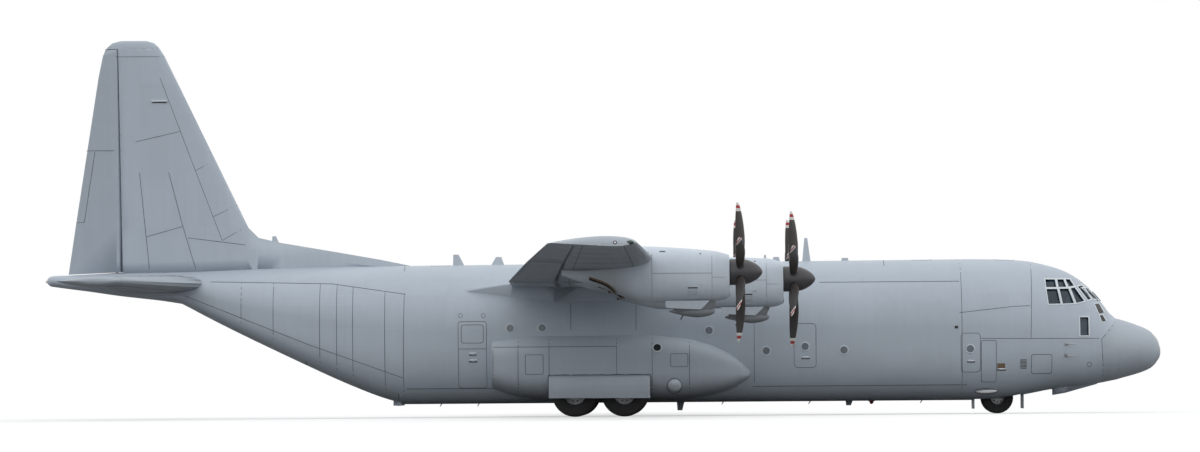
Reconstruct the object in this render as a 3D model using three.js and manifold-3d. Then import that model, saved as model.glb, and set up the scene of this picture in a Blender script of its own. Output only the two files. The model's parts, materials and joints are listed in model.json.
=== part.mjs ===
// A four-engined, high-winged military transport aircraft, parked on its wheels with its doors shut.
// It is a half-size model: the sizes below are those of the full-size aircraft, in millimetres,
// and the last group scales them by MODEL_SCALE. +X is forward, +Y is to port and +Z is up.
// A station is a distance aft of the nose tip. Heights in the fuselage tables are above the belly line.

import * as THREE from "three";
import { mergeVertices } from "three/addons/utils/BufferGeometryUtils.js";
import Module from "manifold-3d";

const wasm = await Module();
wasm.setup();

// Driving dimensions
const MODEL_SCALE = 0.5;
const LENGTH = 34720;
const HALF_SPAN = 20205;
const BELLY_HEIGHT = 420;
const FIT_GAP = 0.8;
const MOVING_GAP = 18;
const WALL = 150;

// Fuselage sections
const RING_POINTS = 30;
const INNER_POINTS = 16;
const FUSELAGE = [
  // station, belly, roof, half width, height of the widest point, lower roundness
  [0, 1400, 1540, 70, 1470, 2],
  [30, 1290, 1660, 210, 1470, 2],
  [93, 1186, 1839, 370, 1480, 2],
  [186, 1062, 1963, 510, 1490, 2],
  [342, 938, 2120, 680, 1500, 2],
  [652, 810, 2270, 890, 1510, 2],
  [1273, 635, 2480, 1165, 1530, 2.1],
  [1398, 600, 2512, 1210, 1540, 2.1],
  [1605, 560, 2705, 1285, 1560, 2.2],
  [1832, 515, 3019, 1360, 1600, 2.2],
  [2286, 440, 3534, 1500, 1700, 2.3],
  [2578, 400, 3770, 1590, 1760, 2.4],
  [2997, 365, 4006, 1710, 1840, 2.5],
  [3460, 310, 4163, 1830, 1930, 2.6],
  [4099, 190, 4307, 1970, 2040, 2.8],
  [5000, 45, 4370, 2090, 2150, 3],
  [5560, 5, 4385, 2145, 2190, 3],
  [6149, 0, 4390, 2160, 2200, 3],
  [15000, 0, 4355, 2160, 2200, 3],
  [23540, 0, 4317, 2160, 2200, 3],
  [24300, 240, 4312, 2150, 2300, 3.4],
  [25400, 690, 4305, 2100, 2470, 4],
  [26460, 1180, 4290, 1990, 2660, 4.2],
  [27960, 1900, 4265, 1740, 2940, 4.2],
  [29220, 2525, 4235, 1480, 3220, 4],
  [30460, 3180, 4195, 1200, 3520, 3.6],
  [31300, 3310, 4180, 1060, 3660, 3],
  [32400, 3440, 4160, 860, 3760, 2.6],
  [33400, 3590, 4130, 620, 3850, 2.4],
  [34060, 3680, 4100, 420, 3890, 2.2],
  [34560, 3752, 4082, 250, 3917, 2],
  [34650, 3790, 4045, 180, 3917, 2],
  [34700, 3850, 3990, 90, 3918, 2],
  [34720, 3890, 3945, 35, 3918, 2],
];
const NOSE_JOINT = 6149;
const RAMP_JOINT = 23540;
const TAIL_END = LENGTH;
const RADOME_JOINT = [
  // station, height
  [1398, 2620],
  [1398, 2512],
  [1907, 1860],
  [1832, 200],
];

// Wing: straight quarter-chord line, straight centre section, tapered outer panels
const WING = {
  quarterStation: 16660,
  rootHeight: 3900,
  chord: 4640,
  tipChord: 2500,
  taperFrom: 5600,
  dihedral: 1.86,
  incidence: 6,
  rootThickness: 0.18,
  tipThickness: 0.12,
  camber: 0.018,
  hinge: 0.73,
  tipCap: 330,
};
const END_GAP = 44;
const SURFACE_PIN = 26;
const PIN_DEPTH = 15;
const SURFACES = [
  // name, and the distances out of the fixed ribs at its two ends
  { name: "flap_inboard", inner: 2360, outer: 5559 },
  { name: "flap_outboard", inner: 5641, outer: 12930 },
  { name: "aileron", inner: 12970, outer: 19580 },
];

// Engines: lateral place, spinner base station and hub height of each pair
const ENGINES = [
  { name: "inboard", out: 4970, base: 11764, hub: 3735 },
  { name: "outboard", out: 10200, base: 13407, hub: 3870 },
];
const PROP_RADIUS = 2055;
const BLADES = 6;
const SPINNER = { radius: 385, length: 965, bladePlane: 300 };
const PROP_SHAFT = 75;
const SHAFT_SIDES = 20;

// Landing gear
const MAIN_STATION = 17422;
const MAIN_SPACING = 1524;
const MAIN_WHEEL = { out: 2170, radius: 710, width: 500, rim: 340 };
const NOSE_STATION = 5102;
const NOSE_WHEEL = { out: 280, radius: 495, width: 330, rim: 215 };
const POD_DOOR_ANGLE = 52;

// Tail
const HINGE_STATION = 32400;
const RUDDER_HINGE = 32525;
const STAB = { height: 3790, rootOut: 700, tipOut: 8025 };

const x = (station) => LENGTH / 2 - station;
const z = (aboveBelly) => BELLY_HEIGHT + aboveBelly;
const mix = (a, b, t) => a + (b - a) * t;
const radians = THREE.MathUtils.degToRad;

// Solids

function solidOf(geometry) {
  const plain = geometry.index ? geometry.toNonIndexed() : geometry.clone();
  plain.deleteAttribute("normal");
  plain.deleteAttribute("uv");
  const merged = mergeVertices(plain, 1e-3);
  const corners = new Uint32Array(merged.index.array);
  const build = () =>
    new wasm.Manifold(
      new wasm.Mesh({
        numProp: 3,
        vertProperties: merged.attributes.position.array,
        triVerts: corners,
      }),
    );
  const solid = build();
  if (solid.volume() > 0) return solid;
  for (let i = 0; i < corners.length; i += 3) {
    [corners[i + 1], corners[i + 2]] = [corners[i + 2], corners[i + 1]];
  }
  return build();
}

function geometryOf(solid) {
  const mesh = solid.getMesh();
  const stride = mesh.numProp;
  const positions = new Float32Array(mesh.numVert * 3);
  for (let i = 0; i < mesh.numVert; i++) {
    positions.set(mesh.vertProperties.subarray(i * stride, i * stride + 3), i * 3);
  }
  const geometry = new THREE.BufferGeometry();
  geometry.setAttribute("position", new THREE.BufferAttribute(positions, 3));
  geometry.setIndex(new THREE.BufferAttribute(mesh.triVerts, 1));
  const flat = geometry.toNonIndexed();
  flat.computeVertexNormals();
  return flat;
}

// A closed solid through rings of points, each ring a list of [x, y, z]
function loft(rings) {
  const count = rings[0].length;
  const positions = rings.flat(2);
  const faces = [];
  for (let r = 0; r + 1 < rings.length; r++) {
    for (let i = 0; i < count; i++) {
      const a = r * count + i;
      const b = r * count + ((i + 1) % count);
      faces.push(a, b, b + count, a, b + count, a + count);
    }
  }
  for (const end of [0, rings.length - 1]) {
    const middle = positions.length / 3;
    const sum = rings[end].reduce((s, p) => [s[0] + p[0], s[1] + p[1], s[2] + p[2]], [0, 0, 0]);
    positions.push(...sum.map((v) => v / count));
    for (let i = 0; i < count; i++) {
      const a = end * count + i;
      const b = end * count + ((i + 1) % count);
      faces.push(...(end ? [a, b, middle] : [b, a, middle]));
    }
  }
  const geometry = new THREE.BufferGeometry();
  geometry.setAttribute("position", new THREE.Float32BufferAttribute(positions, 3));
  geometry.setIndex(faces);
  return solidOf(geometry);
}

// An outline of [a, b] pairs extruded between two places along the third axis
const PLANES = {
  side: [new THREE.Vector3(1, 0, 0), new THREE.Vector3(0, 0, 1), new THREE.Vector3(0, -1, 0)],
  front: [new THREE.Vector3(0, 1, 0), new THREE.Vector3(0, 0, 1), new THREE.Vector3(1, 0, 0)],
  top: [new THREE.Vector3(1, 0, 0), new THREE.Vector3(0, 1, 0), new THREE.Vector3(0, 0, 1)],
};

function prism(plane, outline, from, to) {
  const shape = new THREE.Shape(outline.map(([a, b]) => new THREE.Vector2(a, b)));
  const geometry = new THREE.ExtrudeGeometry(shape, { depth: to - from, bevelEnabled: false });
  geometry.translate(0, 0, plane === "side" ? -to : from);
  geometry.applyMatrix4(new THREE.Matrix4().makeBasis(...PLANES[plane]));
  return solidOf(geometry);
}

function block(x0, x1, y0, y1, z0, z1) {
  const geometry = new THREE.BoxGeometry(Math.abs(x1 - x0), Math.abs(y1 - y0), Math.abs(z1 - z0));
  geometry.translate((x0 + x1) / 2, (y0 + y1) / 2, (z0 + z1) / 2);
  return solidOf(geometry);
}

function rod(from, to, radius, sides = 12) {
  const a = new THREE.Vector3(...from);
  const b = new THREE.Vector3(...to);
  const geometry = new THREE.CylinderGeometry(radius, radius, a.distanceTo(b), sides);
  const turn = new THREE.Quaternion().setFromUnitVectors(
    new THREE.Vector3(0, 1, 0),
    b.clone().sub(a).normalize(),
  );
  geometry.applyQuaternion(turn);
  geometry.translate(...a.add(b).multiplyScalar(0.5).toArray());
  return solidOf(geometry);
}

// The radius of a many-sided bore that clears a round pin all round by the fit gap
const boreFor = (radius, sides) => (radius + FIT_GAP) / Math.cos(Math.PI / sides);

// A hinge pin between two points, and the bore that it turns in
const PIN_SIDES = 12;
const hingePin = (from, to, radius) => rod(from, to, radius, PIN_SIDES);
const pinBore = (from, to, radius) => rod(from, to, boreFor(radius, PIN_SIDES), PIN_SIDES);

// A profile of [radius, along] turned about the Y axis, or about X with along pointing forward
function turned(profile, axis, sides, start = 0) {
  const geometry = new THREE.LatheGeometry(
    profile.map(([r, along]) => new THREE.Vector2(r, along)),
    sides,
    start,
  );
  if (axis === "x") geometry.rotateZ(-Math.PI / 2);
  return solidOf(geometry);
}

const joined = (solids) => solids.reduce((whole, part) => whole.add(part));

// Meshes and paints

const paint = (color, roughness, metalness) =>
  new THREE.MeshStandardMaterial({ color, roughness, metalness });
const GREY = paint(0x98a1a9, 0.55, 0.1);
const DARK = paint(0x2b2c2e, 0.5, 0.1);
const RUBBER = paint(0x1e1e20, 0.9, 0);
const STEEL = paint(0xc9cccd, 0.4, 0.6);
const GLASS = paint(0x27394a, 0.1, 0);
const LINING = paint(0x8b9086, 0.8, 0);
const aircraft = new THREE.Group();

function add(name, solid, material, place = [0, 0, 0]) {
  const mesh = new THREE.Mesh(geometryOf(solid), material);
  mesh.name = name;
  mesh.position.set(...place);
  aircraft.add(mesh);
  return mesh;
}

// Fuselage

function rowAt(station) {
  const next = Math.max(1, FUSELAGE.findIndex((row) => row[0] >= station));
  const [low, high] = [FUSELAGE[next - 1], FUSELAGE[next]];
  const t = (station - low[0]) / (high[0] - low[0]);
  return low.map((value, i) => mix(value, high[i], t));
}

// One fuselage section, drawn in by an inset, as a ring of points
function sectionRing(row, inset = 0, lower = row[5], points = RING_POINTS) {
  const [station, belly, roof, halfWidth, widest] = row;
  const ring = [];
  for (let i = 0; i < points; i++) {
    const angle = (2 * Math.PI * (i + 0.5)) / points;
    const up = Math.sin(angle);
    const out = Math.cos(angle);
    const power = 2 / (up > 0 ? 2 : lower);
    const reach = up > 0 ? roof - inset - widest : widest - belly - inset;
    ring.push([
      x(station),
      Math.sign(out) * (halfWidth - inset) * Math.abs(out) ** power,
      z(widest + Math.sign(up) * reach * Math.abs(up) ** power),
    ]);
  }
  return ring;
}

function hull(from, to, inset = 0, lower, points) {
  const rows = [
    rowAt(from),
    ...FUSELAGE.filter((row) => row[0] > from && row[0] < to),
    rowAt(to),
  ];
  return loft(rows.map((row) => sectionRing(row, inset, lower, points)));
}

const outline = (pairs) => pairs.map(([station, height]) => [x(station), z(height)]);
const WIDE = 3200;

// Nose and flight deck
const noseHull = hull(0, NOSE_JOINT - FIT_GAP / 2);
const radomeSide = (aft) =>
  prism(
    "side",
    outline([
      ...RADOME_JOINT.map(([station, height]) => [station + aft, height]),
      [-200, 200],
      [-200, 2620],
    ]),
    -WIDE,
    WIDE,
  );
add("radome", noseHull.intersect(radomeSide(0)), GREY);

const DECK_HEIGHT = 1850;
const LOBBY_FROM = 4650;
const LOBBY_HEIGHT = 760;
const STAIR_SIDE = 400;
const HOLD_FLOOR = 610;
const SIDE_PANES = [
  // each pane of the right-hand side, as station and height of its corners
  [[3624, 3717], [3317, 3717], [3283, 3472], [3606, 3472]],
  [[3246, 3717], [3050, 3717], [2962, 3478], [3215, 3472]],
  [[2990, 3722], [2851, 3720], [2702, 3520], [2890, 3482]],
  [[3606, 3415], [3265, 3415], [3172, 2960], [3543, 2952]],
  [[3196, 3420], [2911, 3426], [2740, 2972], [3102, 2958]],
  [[2842, 3432], [2678, 3462], [2408, 3048], [2668, 2974]],
  [[2608, 3484], [2420, 3530], [2185, 3110], [2322, 3064]],
];
const CHIN_PANE = [[2578, 2537], [2311, 2537], [2311, 1975], [2578, 1975]];
const FRONT_PANES = [
  // each pane seen from ahead: inner edge, outer edge, lower and upper height
  [-350, 350, 3105, 3450],
  [425, 735, 3105, 3440],
  [-735, -425, 3105, 3440],
];
const GLASS_INSET = 45;
const GLASS_THICK = 32;

const chinRecess = (grow) =>
  joined(
    [-1, 1].map((side) =>
      block(
        x(2250 - grow), x(2650 + grow), side * 1000, side * 2400, z(1915 - grow), z(3000),
      ),
    ),
  );
const glassRegion = (grow) =>
  block(x(1700 - grow), x(3720 + grow), -WIDE, WIDE, z(2900 - grow), z(3800 + grow)).add(
    chinRecess(grow),
  );

function windowCuts() {
  const cuts = [];
  for (const side of [-1, 1]) {
    for (const pane of [...SIDE_PANES, CHIN_PANE]) {
      const [near, far] = side > 0 ? [480, WIDE] : [-WIDE, -480];
      cuts.push(prism("side", outline(pane), near, far));
    }
  }
  for (const [y0, y1, low, high] of FRONT_PANES) {
    cuts.push(block(x(1500), x(2900), y0, y1, z(low), z(high)));
  }
  return joined(cuts);
}

// The chin fairing ahead of the nose wheel bay ends in a step
function chinFairing() {
  const rows = [
    // station, lowest point, half width
    [1990, 470, 260],
    [2350, 375, 420],
    [2997, 200, 470],
    [3354, 140, 480],
  ];
  return loft(
    rows.map(([station, low, half]) => [
      [x(station), -half, z(900)],
      [x(station), -half, z(low + 160)],
      [x(station), -half * 0.75, z(low)],
      [x(station), half * 0.75, z(low)],
      [x(station), half, z(low + 160)],
      [x(station), half, z(900)],
    ]),
  );
}

const NOSE_BAY = { from: 4290, to: 5860, half: 720, roof: 680 };
const noseBay = block(
  x(NOSE_BAY.from), x(NOSE_BAY.to), -NOSE_BAY.half, NOSE_BAY.half, z(-500), z(NOSE_BAY.roof),
);

const CREW_DOOR = { from: 4960, to: 5720, sill: 660, top: 2450, sillGap: 2.8 };
const CREW_PIN = { y: 1826, height: 692, radius: 16 };
const crewDoorway = (grow) =>
  block(
    x(CREW_DOOR.from - grow),
    x(CREW_DOOR.to + grow),
    1300,
    WIDE,
    z(CREW_DOOR.sill - CREW_DOOR.sillGap * grow),
    z(CREW_DOOR.top + grow),
  );
const crewPin = (make, from, to) =>
  make(
    [x(from), CREW_PIN.y, z(CREW_PIN.height)],
    [x(to), CREW_PIN.y, z(CREW_PIN.height)],
    CREW_PIN.radius,
  );
const cabin = hull(2100, NOSE_JOINT + 10, 120, undefined, INNER_POINTS)
  .intersect(block(x(2000), x(NOSE_JOINT + 50), -WIDE, WIDE, z(DECK_HEIGHT), z(5000)))
  .add(
    hull(LOBBY_FROM, NOSE_JOINT + 10, WALL, 2.2, INNER_POINTS).intersect(
      block(x(LOBBY_FROM), x(NOSE_JOINT + 50), -WIDE, WIDE, z(LOBBY_HEIGHT), z(3000)),
    ),
  );
add(
  "nose_section",
  noseHull
    .add(chinFairing())
    .subtract(radomeSide(FIT_GAP))
    .subtract(cabin)
    .subtract(hull(1500, 4200, GLASS_INSET).intersect(glassRegion(0)))
    .subtract(windowCuts())
    .subtract(noseBay)
    .subtract(crewDoorway(MOVING_GAP))
    .subtract(crewPin(pinBore, CREW_DOOR.from - 60, CREW_DOOR.to + 60)),
  GREY,
);
add(
  "flight_deck_glazing",
  hull(1500, 4200, GLASS_INSET + FIT_GAP)
    .subtract(hull(1400, 4300, GLASS_INSET + GLASS_THICK))
    .intersect(glassRegion(-FIT_GAP))
    .subtract(radomeSide(300)),
  GLASS,
);
const crewDoorSkin = hull(4700, 6100).subtract(hull(4600, NOSE_JOINT, 110, 2.9));
add(
  "crew_door",
  crewDoorSkin
    .intersect(crewDoorway(0))
    .add(crewPin(hingePin, CREW_DOOR.from - 56, CREW_DOOR.to + 56)),
  GREY,
);

add(
  "flight_deck_floor",
  block(x(LOBBY_FROM + FIT_GAP), x(6060), -1500, STAIR_SIDE, z(DECK_HEIGHT - 80), z(DECK_HEIGHT)),
  LINING,
);
const bulkhead = hull(6062, 6142, WALL + 12, 2.2, INNER_POINTS)
  .intersect(block(x(6000), x(6200), -WIDE, WIDE, z(LOBBY_HEIGHT + FIT_GAP), z(5000)))
  .subtract(block(x(6000), x(6200), 500, 1150, z(LOBBY_HEIGHT + 60), z(2750)));
add("forward_bulkhead", bulkhead, LINING);
add(
  "instrument_panel",
  block(x(2520), x(2790), -900, 900, z(DECK_HEIGHT + FIT_GAP), z(2830)).add(
    block(x(2780), x(3300), -190, 190, z(DECK_HEIGHT + FIT_GAP), z(2480)),
  ),
  DARK,
);
for (const [label, side] of [["left", 1], ["right", -1]]) {
  const middle = side * 560;
  const parts = [
    block(x(3420), x(3760), middle - 160, middle + 160, z(DECK_HEIGHT + FIT_GAP), z(2260)),
    block(x(3330), x(3880), middle - 260, middle + 260, z(2200), z(2340)),
    block(x(3800), x(3930), middle - 260, middle + 260, z(2300), z(3060)),
  ];
  add(`pilot_seat_${label}`, joined(parts), DARK);
}

// Wing

const wingChord = (out) =>
  out <= WING.taperFrom
    ? WING.chord
    : mix(
        WING.chord,
        WING.tipChord,
        (out - WING.taperFrom) / (HALF_SPAN - WING.tipCap - WING.taperFrom),
      );
const wingShare = (out) => Math.max(0, out - WING.taperFrom) / (HALF_SPAN - WING.taperFrom);

// Half thickness and camber of the section at a share of the chord, as shares of the chord
function sectionShape(share, thickness, camber) {
  const half =
    5 *
    thickness *
    (0.2969 * Math.sqrt(share) -
      0.126 * share -
      0.3516 * share ** 2 +
      0.2843 * share ** 3 -
      0.1036 * share ** 4);
  return [half, 4 * camber * share * (1 - share)];
}

// A point of the wing at a distance out, a share of the chord and a side of the section
function wingPoint(out, share, upper, grow = 0) {
  const chord = wingChord(out);
  const thickness = mix(WING.rootThickness, WING.tipThickness, wingShare(out));
  const turn = radians(WING.incidence * (1 - wingShare(out)));
  const [half, camber] = sectionShape(share, thickness, WING.camber);
  const aft = (share - 0.25) * chord + (share <= 0 ? -grow : share >= TRAILING ? grow : 0);
  const up = camber * chord + upper * (half * chord + grow);
  return [
    x(WING.quarterStation + aft * Math.cos(turn) + up * Math.sin(turn)),
    z(
      WING.rootHeight +
        out * Math.tan(radians(WING.dihedral)) -
        aft * Math.sin(turn) +
        up * Math.cos(turn),
    ),
  ];
}

const TRAILING = 0.995;
const FRONT_SHARES = [0, 0.006, 0.025, 0.07, 0.15, 0.28, 0.42, 0.57];

// A wing ring at a signed distance out, from the leading edge to a share of the chord
function wingRing(y, last, grow = 0, squeeze = 1) {
  const out = Math.abs(y);
  const shares = [...FRONT_SHARES.filter((share) => share < last - 0.03), last];
  const upper = shares.map((share) => wingPoint(out, share, squeeze, grow));
  const lower = shares.slice(1).map((share) => wingPoint(out, share, -squeeze, grow));
  return [...upper, ...lower.reverse()].map(([px, pz]) => [px, y, pz]);
}

// A hinged surface at the trailing edge: a round nose about the hinge, and a taper to the edge
const surfaceHinge = (out) => {
  const [ux, uz] = wingPoint(out, WING.hinge, 1);
  const [lx, lz] = wingPoint(out, WING.hinge, -1);
  return { x: (ux + lx) / 2, z: (uz + lz) / 2, radius: Math.hypot(ux - lx, uz - lz) / 2 };
};
const NOSE_STEPS = [-1, -0.6, 0, 0.6, 1];

function surfaceRing(y) {
  const out = Math.abs(y);
  const { x: hx, z: hz, radius } = surfaceHinge(out);
  const nose = NOSE_STEPS.map((step) => {
    const angle = (step * Math.PI) / 2;
    return [hx + radius * Math.cos(angle), hz - radius * Math.sin(angle)];
  });
  const ends = [-1, 1].flatMap((side) =>
    (side < 0 ? [0.86, TRAILING] : [TRAILING, 0.86]).map((share) => wingPoint(out, share, side)),
  );
  return [...nose, ...ends].map(([px, pz]) => [px, y, pz]);
}

// The share of the chord at which the fixed wing ends, to clear a surface's nose
const coveShare = (out) =>
  WING.hinge - (surfaceHinge(out).radius + MOVING_GAP) / wingChord(out);

const coved = (y, grow) => wingRing(y, coveShare(Math.abs(y)), grow);
const full = (y, grow) => wingRing(y, TRAILING, grow);

// The fixed wing between two distances out, with a cove, as a loft of two or more rings
const wingPart = (ys, ring, grow = 0) => loft(ys.map((y) => ring(y, grow)));
const [INNER_FLAP, OUTER_FLAP, AILERON] = SURFACES;
const rootEdge = INNER_FLAP.inner;
const wingJoint = WING.taperFrom - FIT_GAP / 2;

// The ends of a surface, clear of the ribs, and the line of its hinge between two distances out
const surfaceEnds = ({ inner, outer }) => [inner + END_GAP, outer - END_GAP];
function onHinge(surface, side, out) {
  const [a, b] = surfaceEnds(surface);
  const [from, to] = [surfaceHinge(a), surfaceHinge(b)];
  const t = (out - a) / (b - a);
  return [mix(from.x, to.x, t), side * out, mix(from.z, to.z, t)];
}
const surfacePins = (surface, side, make, depth = PIN_DEPTH) => {
  const [a, b] = surfaceEnds(surface);
  return [
    [surface.inner - depth, a + 20],
    [b - 20, surface.outer + depth],
  ].map(([from, to]) => {
    return make(onHinge(surface, side, from), onHinge(surface, side, to), SURFACE_PIN);
  });
};
const pinBores = (surfaces, side) =>
  joined(surfaces.flatMap((surface) => surfacePins(surface, side, pinBore, PIN_DEPTH + 3)));

const wingCentre = (grow) =>
  joined([
    wingPart([-rootEdge, 0, rootEdge], full, grow),
    ...[-1, 1].flatMap((side) => [
      wingPart([side * (rootEdge - 1), side * wingJoint], coved, grow),
      wingPart([side * INNER_FLAP.outer, side * wingJoint], full, grow),
    ]),
  ]);
add(
  "wing_centre",
  wingCentre(0).subtract(pinBores([INNER_FLAP], 1)).subtract(pinBores([INNER_FLAP], -1)),
  GREY,
);

const tipRing = (y, squeeze, shrink) => {
  const ring = wingRing(y, TRAILING, 0, squeeze);
  const middle = x(WING.quarterStation + 0.2 * WING.tipChord);
  return ring.map(([px, py, pz]) => [mix(middle, px, shrink), py, pz]);
};

const wingOuter = (side) => {
  const start = side * (WING.taperFrom + FIT_GAP / 2);
  const tip = HALF_SPAN - WING.tipCap;
  return joined([
    wingPart([start, side * AILERON.inner, side * AILERON.outer], coved),
    wingPart([start, side * OUTER_FLAP.inner], full),
    wingPart([side * OUTER_FLAP.outer, side * AILERON.inner], full),
    loft([
      full(side * (AILERON.outer - 1)),
      full(side * tip),
      tipRing(side * (tip + 0.6 * WING.tipCap), 0.82, 0.95),
      tipRing(side * (tip + 0.9 * WING.tipCap), 0.5, 0.84),
      tipRing(side * HALF_SPAN, 0.16, 0.66),
    ]),
  ]).subtract(pinBores([OUTER_FLAP, AILERON], side));
};

for (const [label, side] of [["left", 1], ["right", -1]]) {
  add(`wing_outer_${label}`, wingOuter(side), GREY);
  for (const surface of SURFACES) {
    const panel = loft(surfaceEnds(surface).map((out) => surfaceRing(side * out)));
    const pins = surfacePins(surface, side, hingePin);
    add(`${surface.name}_${label}`, joined([panel, ...pins]), GREY);
  }
}

// Blade aerials above and below the fuselage, with a lens-shaped section
const AERIALS = [
  // front and rear of the foot, front and rear of the tip, height of the foot and tip, half thickness
  [9649, 9913, 9700, 9890, 4280, 4460, 24],
  [10851, 11130, 10960, 11050, 4280, 5090, 26],
  [11783, 12081, 11850, 12020, 4280, 4507, 90],
  [12230, 12330, 12250, 12310, 4280, 4573, 24],
  [20400, 20860, 20510, 20677, 4260, 4573, 60],
  [21640, 22020, 21842, 22010, 4260, 4656, 26],
  [14820, 15071, 14895, 15048, 60, -253, 28],
  [9565, 9814, 9640, 9790, 60, -137, 28],
];
const DORSAL_AERIAL = [27394, 27692, 27543, 27661, 4900, 5278, 24];
const AERIAL_SECTION = [
  // share of the way from front to rear, share of the half thickness
  [0, 0.15],
  [0.35, 1],
  [1, 0.2],
  [1, -0.2],
  [0.35, -1],
  [0, -0.15],
];
const aerial = ([footFront, footRear, tipFront, tipRear, foot, tip, half]) =>
  loft(
    [
      [footFront, footRear, foot, half],
      [tipFront, tipRear, tip, half * 0.6],
    ].map(([front, rear, height, reach]) =>
      AERIAL_SECTION.map(([along, across]) => [x(mix(front, rear, along)), across * reach, z(height)]),
    ),
  );

// The fairing between the underside of the wing and the fuselage, drawn out aft to a point
const WING_FAIRING = [
  // station, lower height, half width there, upper height, half width there
  [14980, 3600, 1600, 3800, 1560],
  [15500, 3300, 1830, 3950, 2000],
  [16600, 3140, 1930, 3900, 2280],
  [18800, 3140, 1930, 3800, 2280],
  [20150, 3300, 1840, 3690, 2200],
  [21600, 3470, 1700, 3560, 1690],
];
const wingFairing = loft(
  WING_FAIRING.map(([station, low, lowHalf, top, topHalf]) => [
    [x(station), lowHalf, z(low)],
    [x(station), topHalf, z(top)],
    [x(station), -topHalf, z(top)],
    [x(station), -lowHalf, z(low)],
  ]),
);

// Cargo section: a tube with a thick floor, let into by the wing and the wheel wells
const wheelWell = (side, roof, inner) =>
  block(
    x(MAIN_STATION - 1590), x(MAIN_STATION + 1590), side * inner, side * WIDE, z(-600), z(roof),
  );
const holdSpace = (from, to) =>
  hull(from, to, WALL, 2.2, INNER_POINTS)
    .intersect(block(x(from - 5), x(to + 5), -WIDE, WIDE, z(HOLD_FLOOR), z(5000)))
    .add(block(x(from), x(to), -1550, 1550, z(HOLD_FLOOR), z(1400)));
add(
  "cargo_section",
  hull(NOSE_JOINT + FIT_GAP / 2, RAMP_JOINT - FIT_GAP / 2)
    .add(wingFairing)
    .add(joined(AERIALS.map(aerial)))
    .subtract(holdSpace(NOSE_JOINT - 10, RAMP_JOINT + 10))
    .subtract(wingCentre(FIT_GAP))
    .subtract(wheelWell(1, 1040, 1760))
    .subtract(wheelWell(-1, 1040, 1760)),
  GREY,
);
add(
  "cargo_floor",
  block(x(6200), x(23500), -1530, 1530, z(HOLD_FLOOR + FIT_GAP), z(HOLD_FLOOR + 50)),
  LINING,
);

// The hinge pins of the elevators and the rudder turn in the tail section and in the fixed tips
const TAIL_PIN = 30;
const ELEVATOR = { inner: 980, outer: 7640, pinInner: 740 };
const RUDDER = { bottom: 4190, top: 11150, drop: 65 };
const stabLine = (y) => [x(HINGE_STATION), y, z(STAB.height)];
const rudderLine = (height) => [x(RUDDER_HINGE), 0, z(height)];
function tailPinBores() {
  return joined([
    pinBore(stabLine(-ELEVATOR.inner), stabLine(-ELEVATOR.pinInner), TAIL_PIN),
    pinBore(stabLine(ELEVATOR.pinInner), stabLine(ELEVATOR.inner), TAIL_PIN),
    pinBore(rudderLine(RUDDER.bottom - 160), rudderLine(RUDDER.bottom), TAIL_PIN),
  ]);
}

// Tail section with the ramp and the cargo door
const RAMP_HALF = 1530;
const RAMP_FROM = 23680;
const RAMP_HINGE = { station: 23715, height: -12, lug: 40, pin: 18 };
const RAMP_LUGS = [
  // distances out of the ramp's lug and of the fixed lug beside it
  { moving: [560, 680], fixed: [700, 800] },
];
const rampOutline = (grow) => [
  [RAMP_FROM - grow, -300],
  [RAMP_FROM - grow, HOLD_FLOOR + grow],
  [26420 + grow, 1500 + 2 * grow],
  [26780 + grow, 700],
  [26780 + grow, -300],
];
const DOOR_END = 30240;
const DOOR_TOP = 3300;
const DOOR_HINGE = { station: 30205, height: 3268, pin: 26, reach: 1110 };
const doorOutline = (grow) => [
  [26455 - grow, 1520 + 2 * grow],
  [26815 - grow, 720],
  [26815 - grow, 200],
  [DOOR_END + grow, 200],
  [DOOR_END + grow, DOOR_TOP + grow],
];
const doorPlan = (grow) =>
  prism(
    "top",
    [
      [x(26300 - grow), RAMP_HALF + grow],
      [x(DOOR_END + grow), 840 + grow],
      [x(DOOR_END + grow), -840 - grow],
      [x(26300 - grow), -RAMP_HALF - grow],
    ],
    z(100),
    z(4000),
  );
const tailHull = hull(RAMP_JOINT + FIT_GAP / 2, TAIL_END);
const rampCut = (grow) =>
  prism("side", outline(rampOutline(grow)), -RAMP_HALF - grow, RAMP_HALF + grow);
const doorCut = (grow) =>
  prism("side", outline(doorOutline(grow)), -WIDE, WIDE).intersect(doorPlan(grow));
const rampLine = (y) => [x(RAMP_HINGE.station), y, z(RAMP_HINGE.height)];
const doorLine = (y) => [x(DOOR_HINGE.station), y, z(DOOR_HINGE.height)];
const hingeLug = (side, [near, far], front) =>
  joined([
    rod(rampLine(side * near), rampLine(side * far), RAMP_HINGE.lug),
    block(
      x(front),
      x(RAMP_HINGE.station + (front < RAMP_FROM ? 10 : -10)),
      side * near,
      side * far,
      z(RAMP_HINGE.height - 30),
      z(120),
    ),
  ]);
const fixedLugs = [-1, 1].map((side) => hingeLug(side, RAMP_LUGS[0].fixed, RAMP_JOINT + 60));
const movingLugs = [-1, 1].flatMap((side) => [
  hingeLug(side, RAMP_LUGS[0].moving, RAMP_HINGE.station + 160),
  hingePin(
    rampLine(side * (RAMP_LUGS[0].moving[1] - 10)),
    rampLine(side * (RAMP_LUGS[0].fixed[1] - 10)),
    RAMP_HINGE.pin,
  ),
]);
const lugPocket = joined(
  [-1, 1].map((side) =>
    block(
      x(RAMP_FROM - 30),
      x(RAMP_HINGE.station + RAMP_HINGE.lug + 20),
      side * (RAMP_LUGS[0].fixed[0] - 20),
      side * (RAMP_LUGS[0].fixed[1] + 20),
      z(-200),
      z(160),
    ),
  ),
);
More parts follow.
